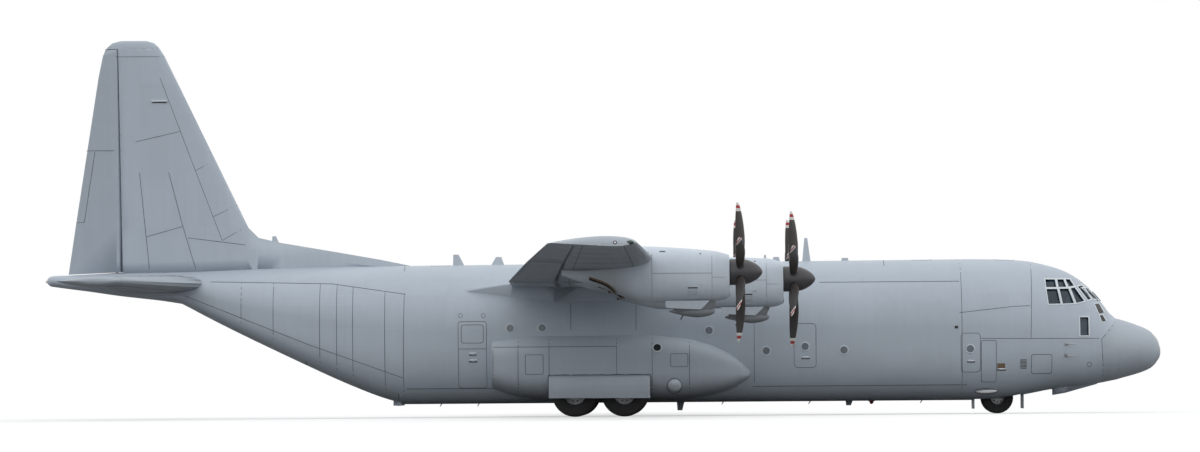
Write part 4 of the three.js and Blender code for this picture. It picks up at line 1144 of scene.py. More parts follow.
ROOF_SEAMS = [
    # station and out of hatch outlines on the roof
    rounded(4550, 5130, -290, 290, 80),
    rounded(7100, 7700, -300, 300, 80),
    rounded(22100, 22700, -300, 300, 80),
    [(8600, -900), (8600, 900)],
    [(12653, -900), (12653, 900)],
    [(23500, -900), (23500, 900)],
]
PORTHOLES = [
    (20176, 2329), (19194, 2331), (14045, 2209), (12285, 1572), (11088, 1695), (9890, 1576),
    (5997, 1583),
]
PANE, RIM = 112, 150
ROUND_PLATES = [circle(21714, 2728, 62), circle(21008, 2723, 62), circle(2289, 1078, 70)]
LEDGES = [
    # name, front and rear station, lower and upper edge, whether to port too
    ("rear_door_upper_handle", 21214, 21460, 1510, 1589, True),
    ("rear_door_lower_handle", 21190, 21465, 1300, 1386, True),
    ("emergency_door_handle", 10934, 11210, 1325, 1392, True),
    ("forward_door_handle", 5847, 6111, 1182, 1248, False),
    ("scoop_ledge", 4890, 5190, 925, 985, False),
]
NOSE_VENTS = {
    "upper": [(2090, 2950), (1941, 2960), (1800, 2690), (1960, 2640)],
    "lower": [(1947, 2592), (1850, 2600), (1743, 2415), (1880, 2400)],
}
OUTLETS = [
    # name, corners, finish, whether to port too
    ("forward_side_vent", rectangle(4255, 4446, 968, 1246), "dark", False),
    ("nose_vent_upper", NOSE_VENTS["upper"], "dark", True),
    ("nose_vent_lower", NOSE_VENTS["lower"], "dark", True),
    ("side_fitting", rectangle(6370, 6475, 2215, 2300), "dark", False),
    ("scoop_outlet", rectangle(4925, 5170, 975, 1130), "brown", False),
]
VENT_SLATS = [[(4268, height), (4433, height)] for height in range(1000, 1240, 44)]
VENT_FRAMES = [
    [(2105, 2965), (1935, 2975), (1785, 2700), (1965, 2620), (2105, 2965)],
    [(1962, 2607), (1842, 2615), (1728, 2420), (1890, 2385), (1962, 2607)],
]
PROBE = {"station": 3030, "root": 2990, "heights": (1710, 1371), "reach": 110, "length": 250}
# A landing lamp low on each side of the nose
NOSE_LAMP = {"place": (5500, 270), "lens": (345, 62, 78), "rim": (352, 88, 12)}
BEACONS = [("upper_beacon", 18900, 4335, 1), ("lower_beacon", 9000, 0, -1)]
BEACON_DOME = [(0, -20), (74, -20), (70, 26), (52, 76), (26, 98), (0, 104)]
BEACON_SEAT = [(0, -30), (104, -30), (104, 6), (88, 16), (0, 16)]
DRAIN_MASTS = [(7400, 420), (10900, -380), (13600, 520), (21200, -480), (22400, 300)]


def round_window(station, height, side):
    middle, outward = skin_at(fuselage_form, station, height, side)
    edge = [
        (PANE, -12), (PANE, 9), (PANE + 8, 14), (RIM - 12, 14), (RIM, 7), (RIM, -12), (PANE, -12),
    ]
    ring = spun("rim", edge, middle, outward, 40)
    pane = [(0, -9), (PANE + 4, -9), (PANE + 4, 1), (0, 6)]
    return ring, spun("pane", pane, middle, outward, 32)


# An air data probe: a tube held off the skin on a swept mast
def probe(name, height, side):
    foot, outward = skin_at(fuselage_form, PROBE["station"], height, side)
    root, _ = skin_at(fuselage_form, PROBE["root"], height, side)
    aft = Vector((MM, 0, 0))
    knee = root + outward * PROBE["reach"] * MM
    parts = [
        bar("mast", foot - outward * 20 * MM, knee, 34, 20, 16),
        bar("tube", knee - aft * 20, knee + aft * PROBE["length"], 17, 11, 20),
        ball("cover", knee, (26, 24, 22), 16),
        spun("plate", [(0, -6), (62, -6), (62, 6), (0, 9)], foot, outward, 24),
    ]
    dress(joined(name, parts), "steel")


def fuselage_fittings():
    form = fuselage_form
    for name, lines in [("fuselage_seams", SEAMS), ("side_door_seams", DOOR_SEAMS)]:
        dress(strips(name, lines, form), "line", both=True)
    dress(strips("starboard_seams", STARBOARD_SEAMS, form), "line")
    dress(strips("roof_seams", ROOF_SEAMS, form, 1, plane="top"), "line")
    for label, side in SIDES.items():
        rims, panes = zip(*(round_window(*place, side) for place in PORTHOLES))
        dress(joined(f"porthole_rims_{label}", rims), "pale_edge")
        dress(joined(f"porthole_panes_{label}", panes), "dull_glass")
    dress(strips("round_plates", ROUND_PLATES, form, width=12, step=60), "line", both=True)

    # Handles of the side doors: small ledges with a dark patch below that is painted shade of a recess
    for name, near, far, low, high, both in LEDGES:
        corners = rectangle(near + 12, far - 12, low - 16, low + 20)
        dress(patch(f"{name}_painted_recess_shade", corners, form, cells=(4, 2)), "dark", both=both)
        middle, outward = skin_at(form, (near + far) / 2, (low + high) / 2, -1)
        size = ((far - near) / 2, 44, (high - low) / 2)
        dress(ball(name, middle - outward * 6 * MM, size, 20), "pale_edge", both=both)

    # The vents are dark patches, painted shade of their openings; the forward side vent has slats over
    # its patch
    for name, corners, finish, both in OUTLETS:
        dress(patch(name, corners, form, cells=(6, 6), thick=7), finish, both=both)
    dress(strips("forward_vent_slats", VENT_SLATS, form, width=20, thick=22), "pod")
    frames = strips("vent_frames", VENT_FRAMES, form, width=24, thick=14)
    dress(frames, "window_frame", both=True)
    for label, side in SIDES.items():
        for i, height in enumerate(PROBE["heights"]):
            probe(f"air_data_probe_{i + 1}_{label}", height, side)

    middle, outward = skin_at(form, *NOSE_LAMP["place"], -1)
    lens = ball("landing_lamp_lens", middle - outward * 22 * MM, NOSE_LAMP["lens"], 32)
    dress(lens, "lamp", slot="grey_paint", both=True)
    rim = oval("landing_lamp_rim", middle, *NOSE_LAMP["rim"], "Y")
    points = measured(rim.data)
    points[:, 1] = form.laid(points, -1)[:, 1]
    set_points(rim.data, points)
    dress(rim, "line", both=True)

    # Beacons above and below, and small drain masts along the keel
    for name, station, height, up in BEACONS:
        place = spot(station, 0, height), (0, 0, up), 32
        dress(spun(name, BEACON_DOME, *place), "red_lens")
        dress(spun(f"{name}_seat", BEACON_SEAT, *place), "line")
    masts = [
        bar("mast", spot(station, out, 25), spot(station + 70, out, -82), 17, 13, 14)
        for station, out in DRAIN_MASTS
    ]
    dress(joined("drain_masts", masts), "steel")


# Pale frames round the flight deck panes, and the wipers on the three front ones

SIDE_PANES = [
    [(3624, 3717), (3317, 3717), (3283, 3472), (3606, 3472)],
    [(3246, 3717), (3050, 3717), (2962, 3478), (3215, 3472)],
    [(2990, 3722), (2851, 3720), (2702, 3520), (2890, 3482)],
    [(3606, 3415), (3265, 3415), (3172, 2960), (3543, 2952)],
    [(3196, 3420), (2911, 3426), (2740, 2972), (3102, 2958)],
    [(2842, 3432), (2678, 3462), (2408, 3048), (2668, 2974)],
    [(2608, 3484), (2420, 3530), (2185, 3110), (2322, 3064)],
]
CHIN_PANE = [(2578, 2537), (2311, 2537), (2311, 1975), (2578, 1975)]
FRONT_PANES = [(-350, 350, 3105, 3450), (425, 735, 3105, 3440), (-735, -425, 3105, 3440)]
FRAME = 34
WIPER_OUTS = (-560, -60, 60, 560)


def grown(pane, reach):
    middle = np.mean(pane, axis=0)
    corners = [tuple(np.array(place) + np.sign(place - middle) * reach) for place in pane]
    return [*corners, corners[0]]


def flight_deck_windows():
    form, reach = fuselage_form, FRAME / 2
    lines = [grown(pane, reach) for pane in [*SIDE_PANES, CHIN_PANE]]
    frames = strips("side_window_frames", lines, form, width=FRAME, thick=16, step=60)
    dress(frames, "window_frame", both=True)
    lines = [grown(rectangle(*pane), reach) for pane in FRONT_PANES]
    dress(strips("front_window_frames", lines, form, 1, FRAME, 16, "front", 60), "window_frame")
    wipers = []
    for out in WIPER_OUTS:
        way = 1 if out > 0 else -1
        points = np.array([[0, out, 3070], [0, out + way * 90, 3330]], float)
        lift = Vector((14, 0, 10)) * MM
        foot, tip = (spot(*place) + lift for place in form.laid(points, 1, "front"))
        run = Vector((0, way * 90, 0)) * MM
        wipers += [
            bar("arm", foot, tip, 9, 6, 10),
            bar("blade", tip - run, tip + run, 7, 5, 10),
            ball("pivot", foot - lift * 0.4, (22, 22, 22), 14),
        ]
    dress(joined("windscreen_wipers", wipers), "dark")


# Landing gear pods

POD_SEAMS = [
    [(20700, 1740), (20700, 640)],
    [(19925, 2130), (19925, 250)],
    [(18967, 2190), (18967, 180)],
    [(16891, 2200), (16891, 879)],
    [(15798, 2190), (15798, 180)],
    [(14650, 2080), (14650, 220)],
    [(18964, 1740), (16891, 1740)],
    [(20680, 1740), (18964, 1740)],
    rounded(14700, 15230, 1100, 1500, 40),
    circle(15119, 514, 232, 24),
    rounded(19150, 19700, 900, 1500, 40),
]
POD_INTAKE = (15639, 1696)
POD_DOME = (15119, 514)
POD_HINGES = range(16050, 18950, 560)


def pod_fittings():
    dress(strips("gear_pod_seams", POD_SEAMS, pod_form, step=120), "line", both=True)
    intake = skin_at(pod_form, *POD_INTAKE, -1)
    mouth = [(118, -60), (118, 6), (128, 14), (150, 14), (160, 4), (160, -60), (118, -60)]
    depth = [(0, -50), (124, -50), (124, -2), (0, 2)]
    dome = [(0, -60), (222, -60), (214, 0), (186, 48), (130, 84), (60, 101), (0, 105)]
    dress(spun("pod_intake", mouth, *intake, 40), "pale_edge", both=True)
    # A dark disc inside the pod's intake ring is painted shade of its duct
    dress(spun("pod_intake_depth", depth, *intake, 32), "hole", both=True)
    dress(spun("pod_dome", dome, *skin_at(pod_form, *POD_DOME, -1)), "pale_edge", both=True)
    hinges = [
        block("hinge", (station - 45, station + 45), (-2742, -2700), (868, 908), 8)
        for station in POD_HINGES
    ]
    dress(joined("pod_door_hinges", hinges), "pod", both=True)


# Engines

NACELLE_SEAMS = [
    # station from the spinner base and height from the hub
    [(529, 560), (529, -760)],
    [(2298, 560), (2298, -760)],
    [(529, -35), (2298, -35)],
    [(60, -160), (529, -160)],
]


# A flat upright wall, leaning out a little towards its top
class Wall(Skin):
    LEAN, FOOT = 0.25, -970

    def __init__(self, out, face, hub):
        self.out, self.face, self.foot = out, face, hub + self.FOOT

    def reach(self, points):
        return (points[:, 1] - self.out) * self.face - self.LEAN * (points[:, 2] - self.foot)

    def laid(self, points, side, plane=None):
        placed = points.copy()
        placed[:, 1] = self.out + self.face * self.LEAN * (points[:, 2] - self.foot)
        return placed


NACELLE_VENT = (955, 1249, -657, -450)
VENT_SLAT_HEIGHTS = (-503, -546, -589, -632)
COOLER_WALL = [(1910, -840), (602, -840), (867, -1100), (1895, -1040)]
COOLER_WALL_OUT = 318
INTAKE = {"height": -548, "lip": (392, 168, 26), "mouth": (1, 375, 152)}
EXHAUST = {
    # the pipe's start and a point on its axis from the wing's edge and the hub, and radii along it
    "start": (330, -350),
    "axis": (2100, -70),
    "pipe": [
        (206, 0), (206, 900), (214, 960), (226, 985), (222, 1004), (206, 1000), (192, 960),
        (184, 880), (180, 0), (206, 0),
    ],
    "core": [(0, 60), (178, 60), (150, 400), (70, 700), (0, 780)],
    "lip": [(1110, -545), (1188, -465), (1328, -350), (1508, -262), (1678, -202), (1863, -140)],
}
LATCHES = [(1900, 2070, 596, 622), (850, 890, 524, 552)]


SCOOP = {"aft": 1040, "drop": 1150, "back": 760, "front": 600, "half": (250, 185), "taper": 0.55}
NACELLE_DRAIN = [(1330, -1150), (1470, -1400)]


# The oil cooler's outlet scoop: blunt at its front, drawn out to an edge aft
def scoop(name, station, out, height):
    piece = ball(name, spot(station, out, height), (1, 1, 1), 32)
    points = measured(piece.data) - (station, out, height)
    aft = points[:, 0] > 0
    taper = np.where(aft, 1 - points[:, 0] * SCOOP["taper"], 1)
    long = np.where(aft, SCOOP["back"], SCOOP["front"])
    size = np.stack([long, *(half * taper for half in SCOOP["half"])], axis=1)
    set_points(piece.data, points * size + (station, out, height))
    return piece


def nacelle_fittings(name, engine, side, label):
    form, end = nacelle_form(engine, side), f"{name}_{label}"
    out, base, hub, edge = (engine[key] for key in ("out", "base", "hub", "edge"))
    out *= side
    node = f"nacelle_{end}"

    # A line of stations from the spinner base and heights from the hub, at its own place
    def moved(line):
        return [(base + station, hub + height) for station, height in line]

    near, far, low, high = NACELLE_VENT
    slats = [moved([(near + 10, height), (far - 10, height)]) for height in VENT_SLAT_HEIGHTS]
    rim = moved(rounded(near - 10, far + 10, low - 10, high + 10, 16, 1))
    for face in (-1, 1):
        tag = f"{'outer' if face == side else 'inner'}_{end}"
        lines = [moved(line) for line in NACELLE_SEAMS]
        dress(strips(f"nacelle_seams_{tag}", lines, form, face, 9, step=110), "line")
        # The vent is a dark patch, painted shade of its opening, under slats and a pale frame
        vent = moved(rectangle(*NACELLE_VENT))
        dress(patch(f"nacelle_vent_{tag}", vent, form, face, 10, (4, 4)), "dark")
        dress(strips(f"nacelle_vent_slats_{tag}", slats, form, face, 36, 13), node)
        dress(strips(f"nacelle_vent_frame_{tag}", [rim], form, face, 12, 10), "pale_edge")
        wall = Wall(out + face * COOLER_WALL_OUT, face, hub)
        plate = patch(f"cooler_wall_{tag}", moved(COOLER_WALL), wall, face, 26, (6, 4))
        dress(plate, "nacelle_pale")

    height = hub + INTAKE["height"]
    dress(oval(f"intake_lip_{end}", spot(base + 10, out, height), *INTAKE["lip"]), node)
    # A dark disc in the intake's mouth, painted shade of the duct behind it
    mouth = [(0, -30), (1, -30), (1, -4), (0, -4)]
    mouth = spun(f"intake_mouth_{end}", mouth, spot(0, 0, 0), (1, 0, 0), 40)
    set_points(mouth.data, measured(mouth.data) * INTAKE["mouth"] + (base + 40, out, height))
    dress(mouth, "hole")

    # Exhaust: a burnt pipe with a rolled lip, under the wing
    start = spot(edge + EXHAUST["start"][0], out, hub + EXHAUST["start"][1])
    axis = spot(EXHAUST["axis"][0], 0, EXHAUST["axis"][1]) - spot(0, 0, 0)
    dress(spun(f"exhaust_pipe_{end}", EXHAUST["pipe"], start, axis), "exhaust")
    dress(spun(f"exhaust_core_{end}", EXHAUST["core"], start, axis, 32), "exhaust")
    # A heat-stained lip, and below it a near-black strip that is its painted shadow
    for tag, drop, width, finish in [("lip", 0, 46, "brown"), ("shadow", -52, 50, "hole")]:
        line = [(edge + station, hub + height + drop) for station, height in EXHAUST["lip"]]
        piece = strips(f"exhaust_{tag}_{end}", [line], form, side, width, 12, step=60)
        dress(piece, finish, slot="steel")
    place = base + SCOOP["aft"], out, hub - SCOOP["drop"]
    # The cooler scoop takes the cooler's dark grey, which is painted shade
    dress(scoop(f"cooler_scoop_{end}", *place), "cooler")
    ends = [spot(station, out - side * 90, height) for station, height in moved(NACELLE_DRAIN)]
    dress(bar(f"nacelle_drain_{end}", *ends, 22, 16, 16), "dark")
    latches = [
        patch("latch", moved(rectangle(*latch)), form, side, 12, (2, 2)) for latch in LATCHES
    ]
    dress(joined(f"nacelle_latches_{end}", latches), "dark")


# Fin, wings and tailplane

RUDDER_HINGE = 32525
RUDDER_GAP = 18
FIN_SEAMS = [
    [(32527, 10927), (31038, 10916)],
    [(31137, 10253), (30039, 7338), (29207, 5150)],
    [(30039, 7338), (29682, 7530)],
    [(29493, 5891), (28761, 6245)],
    [(29207, 5150), (28500, 5560)],
    [(30870, 7285), (30436, 5600), (30039, 4279)],
    [(31581, 5283), (30436, 5600)],
    [(31789, 7292), (31491, 4290)],
    [(31906, 8258), (30514, 8570)],
    [(30275, 5242), (28500, 5010)],
]
RUDDER_SEAMS = [
    [(33464, 7996), (32600, 7989)],
    [(33197, 7954), (33538, 5760), (33780, 5744)],
]
WING_RIBS = [2300, 5600, 7400, 9100, 11300, 12950, 14900, 16900, 18700]
REAR_RIBS = [2310, 5600, 12950]
WING_SPARS = [0.14, 0.6]
STAB_RIBS = [(1700, 29990), (3500, 30510), (5300, 31020), (7000, 31510)]
STAB_RIB_END = 32150
STAB_SPAR = [(30350, 1100), (31900, 7700)]
RUDDER_SEAL = [4150, 5578, 7000, 8500, 10300, 11160]
HINGE_COVERS = (8480, 7990, 7380, 6300)
TAIL_LAMP = (34700, 0, 3918)
WING_LAMPS = {"lens": (16208, 20112, 4545), "eye": (16630, 20196, 4545), "flood": (15080, 8200, 4050)}
LAMP_RING = [(30, -20), (30, 4), (52, 4), (52, -20), (30, -20)]
LAMP_EYE = [(0, -12), (34, -12), (30, 4), (0, 10)]


def wing_line(share, outs):
    chords = np.interp(outs, wing_foil.rows[:, 0], wing_foil.rows[:, 3])
    return [(QUARTER + (share - 0.25) * chord, out) for out, chord in zip(outs, chords)]


def wing_seams():
    lines = [wing_line(share, (2300, 5600, 19800)) for share in WING_SPARS]
    for ribs, front, rear in [(WING_RIBS, 0.05, 0.64), (REAR_RIBS, 0.72, 0.95)]:
        lines += [wing_line(front, [out]) + wing_line(rear, [out]) for out in ribs]
    return lines


def tail_and_wing_fittings():
    stab = [[(station, out), (STAB_RIB_END, out)] for out, station in STAB_RIBS] + [STAB_SPAR]
    for label, side in SIDES.items():
        dress(strips(f"fin_seams_{label}", FIN_SEAMS, fin_foil, side), "line")
        dress(strips(f"rudder_seams_{label}", RUDDER_SEAMS, fin_foil, side), "line", "rudder")
        # A pale ledge on each side of the fin, and under it a dark block that is painted shade
        for name, stations, reach, heights, bevel, finish in [
            ("ledge", (30914, 31410), 215, (9505, 9550), 12, "window_frame"),
            ("ledge_underside", (30930, 31380), 190, (9470, 9508), 8, "dark"),
        ]:
            outs = (side * 30, side * reach)
            dress(block(f"fin_{name}_{label}", stations, outs, heights, bevel), finish)
        for name, lines, form, step in [
            ("wing", wing_seams(), wing_foil, 400), ("tailplane", stab, stab_foil, 300),
        ]:
            lines = [[(station, side * out) for station, out in line] for line in lines]
            for face, way in (("lower", -1), ("upper", 1)):
                piece = strips(
                    f"{name}_seams_{face}_{label}", lines, form, way, 16, 5, "top", step,
                )
                dress(piece, "line")

    # Seals in the gap ahead of the rudder and over it, and its hinges' covers
    rear = np.array([[RUDDER_HINGE, 0, height] for height in RUDDER_SEAL], float)
    half = fin_foil.split(rear)[3]
    front = RUDDER_HINGE - RUDDER_GAP / 2
    line = [spot(front - reach, 0, height) for reach, height in zip(half, RUDDER_SEAL)]
    seals = [bar("seal", a, b, RUDDER_GAP / 2 + 1, sides=12) for a, b in zip(line, line[1:])]
    seals.append(block("seal", (RUDDER_HINGE - 130, 32860), (-12, 12), (11151, 11167)))
    foot = block("seal", (RUDDER_HINGE - 200, 34020), (-16, 16), (4000, 4180))
    points = measured(foot.data)
    slope = (points[:, 0] - RUDDER_HINGE + 200) * 0.048
    points[:, 2] -= np.where(points[:, 2] > 4100, slope, 0)
    set_points(foot.data, points)
    dress(joined("rudder_seals", [*seals, foot]), "dark")
    for label, side in SIDES.items():
        dots = []
        for height in HINGE_COVERS:
            reach = float(np.interp(height, RUDDER_SEAL, half))
            middle = spot(RUDDER_HINGE - reach - 55, side * (reach + 2), height)
            dots.append(ball("dot", middle, (34, 16, 30), 14))
        dress(joined(f"rudder_hinge_covers_{label}", dots), "dark")

    # Lamps; each wing tip has a coloured lens at the front and a pale one in a dark ring aft of it
    dress(ball("tail_lamp", spot(*TAIL_LAMP), (70, 60, 60)), "lamp")
    for label, side in SIDES.items():
        lens, eye, flood = (
            spot(station, side * out, height) for station, out, height in WING_LAMPS.values()
        )
        lens = ball(f"tip_lamp_{label}", lens, (112, 72, 68))
        dress(lens, "red_tint" if side > 0 else "green_tint")
        dress(spun(f"tip_lamp_ring_{label}", LAMP_RING, eye, (0, side, 0), 28), "dark")
        dress(spun(f"tip_lamp_eye_{label}", LAMP_EYE, eye, (0, side, 0), 24), "lamp")
        dress(ball(f"wing_landing_lamp_{label}", flood, (60, 110, 60)), "lamp")


# Propellers: six swept blades round a smooth spinner, modelled once and copied to their places

BLADES = 6
BLADE_PLANE = 300
BLADE_SIDES = 22
BLADE_ROOT = 330
ROUND_ROOT = 300
BLADE_CAMBER = 0.4
SPINNER = [
    # radius and distance ahead of the blades
    (0, -298), (372, -298), (385, -286), (386, -100), (383, 40), (371, 140), (348, 240), (313, 335),
    (268, 425), (214, 508), (154, 578), (92, 630), (40, 657), (0, 665),
]
SPINNER_BACK = [(0, -310), (362, -310), (362, -296), (0, -296)]
BLADE_COLLAR = [(0, 340), (124, 340), (124, 388), (112, 396), (0, 396)]
BLADE = Form([
    # radius, chord, thickness, pitch in degrees, sweep
    (330, 205, 128, 62, 0),
    (480, 235, 112, 58, -6),
    (620, 300, 88, 54, -10),
    (830, 355, 72, 50, -12),
    (1050, 385, 60, 46, -10),
    (1330, 384, 50, 41.5, 8),
    (1600, 352, 40, 37, 35),
    (1795, 292, 31, 34, 62),
    (1882, 252, 27, 33, 78),
    (1969, 196, 22, 31.5, 98),
    (2020, 146, 18, 31, 112),
    (2045, 100, 15, 30.5, 120),
    (2055, 60, 12, 30, 126),
])
TIP_BANDS = [1795, 1882, 1969]
TIP_COLORS = (0, 1, 2, 1)
BLADE_RINGS = [
    *np.linspace(BLADE_ROOT, TIP_BANDS[0], 17), 1838, 1882, 1925, 1969, 2000, 2022, 2036, 2046, 2055,
]


def blade():
    rings = np.array(BLADE_RINGS)
    steps = len(rings) - 1
    chord, thick, pitch, sweep = BLADE.at(rings).T
    bpy.ops.mesh.primitive_grid_add(x_subdivisions=BLADE_SIDES, y_subdivisions=steps, size=1)
    piece = settled("blade")
    mesh = piece.data
    for corner in mesh.vertices:
        turn = 2 * pi * (corner.co[0] + 0.5)
        i = round((corner.co[1] + 0.5) * steps)
        along = cos(turn) / 2
        s = 0.5 - along
        full = min(1, max(0, (rings[i] - BLADE_ROOT) / ROUND_ROOT))
        half = abs(sin(turn)) / 2 * (1 - full) + section(s) * full
        a = along * chord[i] - sweep[i]
        b = ((half if sin(turn) > 0 else -half) + BLADE_CAMBER * full * s * (1 - s)) * thick[i]
        angle = radians(pitch[i])
        across, ahead = a * sin(angle) + b * cos(angle), a * cos(angle) - b * sin(angle)
        corner.co = Vector((across, ahead, rings[i])) * MM
    with shaping(piece):
        bpy.ops.mesh.remove_doubles(threshold=CLOSE)
        bpy.ops.mesh.fill_holes(sides=0)
        bpy.ops.mesh.normals_make_consistent(inside=False)
    painted(piece, "blade", "tip_white", "tip_red")
    for face in mesh.polygons:
        face.material_index = TIP_COLORS[sum(face.center[2] / MM > edge for edge in TIP_BANDS)]
    return smooth(piece, 50)


def propellers():
    along, middle = (1, 0, 0), Vector()
    first = blade()
    collar = painted(spun("collar", BLADE_COLLAR, middle, (0, 0, 1), 32), "dark")
    shaft = [Vector((ahead, 0, 0)) * MM for ahead in (-550, -300)]
    parts = [
        painted(spun("spinner", SPINNER, middle, along, 64), "spinner"),
        # a near-black plate behind the spinner, painted shade of the gap there
        painted(spun("back", SPINNER_BACK, middle, along), "hole"),
        painted(bar("shaft", *shaft, 70), "steel"),
    ]
    for i in range(BLADES):
        for part in (first, collar):
            copy = twin(part, "part")
            copy.data.transform(Matrix.Rotation(2 * pi * i / BLADES, 4, "X"))
            parts.append(copy)
    for part in (first, collar):
        bpy.data.objects.remove(part)
    whole = joined("propeller", parts)
    for name, engine in ENGINES.items():
        for label, side in SIDES.items():
            node = f"propeller_{name}_{label}"
            copy = twin(whole, f"{node}_blades")
            place = spot(engine["base"] - BLADE_PLANE, side * engine["out"], engine["hub"])
            copy.data.transform(Matrix.Translation(place))
            mount(copy, node, "propeller", replaces=node)
    bpy.data.objects.remove(whole)


# Landing gear: heights here are above the ground

MAIN_WHEEL = {"radius": 710, "half": 250, "rim": 340, "grooves": (60, 160), "bolts": 10}
NOSE_WHEEL = {"radius": 495, "half": 165, "rim": 215, "grooves": (36, 96), "bolts": 8}
MAIN_STATIONS = {"front": 16660, "rear": 18184}
MAIN_OUT = 2170
LEG_OUT = 1834
NOSE_STATION = 5102
NOSE_OUT = 280


def above_ground(station, out, height):
    return spot(station, out, height - BELLY)


GROOVE = [(0, -10), (-15, -7), (-15, 7), (0, 10)]
TYRE_WALL = [
    # shares of the tyre's radius and half width
    (0.99, 0.72), (0.965, 0.85), (0.92, 0.94), (0.86, 0.985), (0.79, 1), (0.7, 0.985), (0.62, 0.94),
]
BEAD = [(24, 0.86), (5, 0.78), (-14, 0.7), (-18, 0.4)]
HUB_FACE = [
    # shares of the rim's radius and half width
    (0, 0.5), (0.2, 0.5), (0.24, 0.42), (0.27, 0.3), (0.5, 0.2), (0.8, 0.24), (0.88, 0.5),
    (0.925, 0.72), (0.965, 0.735), (0.965, 0.5),
]
BRAKE = [(0.3, -0.3), (0.84, -0.3), (0.84, -0.6), (0.3, -0.6), (0.3, -0.3)]
# Wheel bolts; the outer row's dark ends are painted shade of holes
BOLTS = [
    # share of the rim's radius, bolt's radius, how far out as a share of the half width
    (0.42, 13, 0.24, "steel"), (0.66, 24, 0.225, "hole"),
]


# A grooved tyre, and its wheel with bolts and a brake on the inner side
def wheel(size, middle, side):
    radius, half, rim = (size[key] for key in ("radius", "half", "rim"))
    axis = Vector((0, side, 0))
    tread = [(radius, 0)]
    for groove in size["grooves"]:
        tread += [(radius + deep, groove + along) for deep, along in GROOVE]
    tread += [(radius * share, half * out) for share, out in TYRE_WALL]
    tread += [(rim + more, half * share) for more, share in BEAD]
    back = [(r, -along) for r, along in reversed(tread)]
    tyre = spun("tyre", tread + back, middle, axis, 72)
    face = [(rim * share, half * out) for share, out in HUB_FACE]
    back = [(r, -along) for r, along in reversed(face)]
    brake = [(rim * share, half * out) for share, out in BRAKE]
    parts = [
        painted(spun("hub", face + back, middle, axis, 56), "hub"),
        painted(spun("brake", brake, middle, axis), "steel"),
    ]
    for i in range(size["bolts"]):
        turn = 2 * pi * i / size["bolts"]
        away = Vector((cos(turn), 0, sin(turn))) * rim * MM
        for reach, bolt, share, finish in BOLTS:
            for way in (-1, 1):
                foot, top = (
                    middle + away * reach + axis * way * half * MM * (share + more)
                    for more in (-0.06, 0.03)
                )
                parts.append(painted(bar("bolt", foot, top, bolt, sides=10), finish))
    return tyre, joined("wheel_hub", parts)


def wheels():
    for label, side in SIDES.items():
        for end, station in MAIN_STATIONS.items():
            node = f"main_wheel_{end}_{label}"
            middle = above_ground(station, side * MAIN_OUT, MAIN_WHEEL["radius"])
            tyre, hub = wheel(MAIN_WHEEL, middle, side)
            tyre.name, hub.name = f"{node}_tyre", f"{node}_hub"
            mount(painted(tyre, "rubber"), node, "tyre", replaces=node)
            mount(smooth(hub), node, "steel")
    tyres, hubs = [], []
    for side in SIDES.values():
        middle = above_ground(NOSE_STATION, side * NOSE_OUT, NOSE_WHEEL["radius"])
        tyre, hub = wheel(NOSE_WHEEL, middle, side)
        tyres.append(tyre)
        hubs.append(hub)
    ends = [above_ground(NOSE_STATION, out, NOSE_WHEEL["radius"]) for out in (-385, 385)]
    hubs.append(painted(bar("axle", *ends, 48), "steel"))
    tyre = painted(joined("nose_wheels_tyres", tyres), "rubber")
    mount(tyre, "nose_wheel_pair", "tyre", replaces="nose_wheels")
    mount(smooth(joined("nose_wheels_hubs", hubs)), "nose_wheel_pair", "steel")


# Two arms that meet at a knee, ahead of a leg
def torque_link(station, out, low, high, reach, width):
    knee = above_ground(station - reach, out, (low + high) / 2)
    arms = []
    for height in (low, high):
        for side in (-1, 1):
            start = above_ground(station - 40, out + side * width, height)
            end = knee + Vector((0, side * width * 0.35 * MM, 0))
            arms.append(bar("arm", start, end, 17, 13, 12))
    cross = Vector((0, width * 0.6 * MM, 0))
    return [*arms, bar("pin", knee - cross, knee + cross, 16, sides=14)]


# Collars round a leg; each ring has its lower and upper edge and its radius
def collars(station, out, rings):
    pieces = []
    for low, high, radius in rings:
        inner = radius - 8
        edge = [
            (0, low), (inner, low), (radius, low + 8), (radius, high - 8), (inner, high), (0, high),
        ]
        pieces.append(spun("collar", edge, above_ground(station, out, 0), (0, 0, 1), 28))
    return pieces


MAIN_RINGS = [(905, 1030, 96), (1180, 1220, 88), (1380, 1440, 104), (600, 730, 98)]
NOSE_RINGS = [(836, 925, 128), (980, 1010, 112), (1200, 1235, 108)]
STRUT_RINGS = [(560, 640, 92), (770, 822, 88)]
TAXI_LAMP = [(0, -70), (52, -60), (78, -20), (84, 26), (76, 26), (70, 10), (0, 10)]
TAXI_LENS = [(0, 8), (72, 8), (60, 20), (0, 30)]


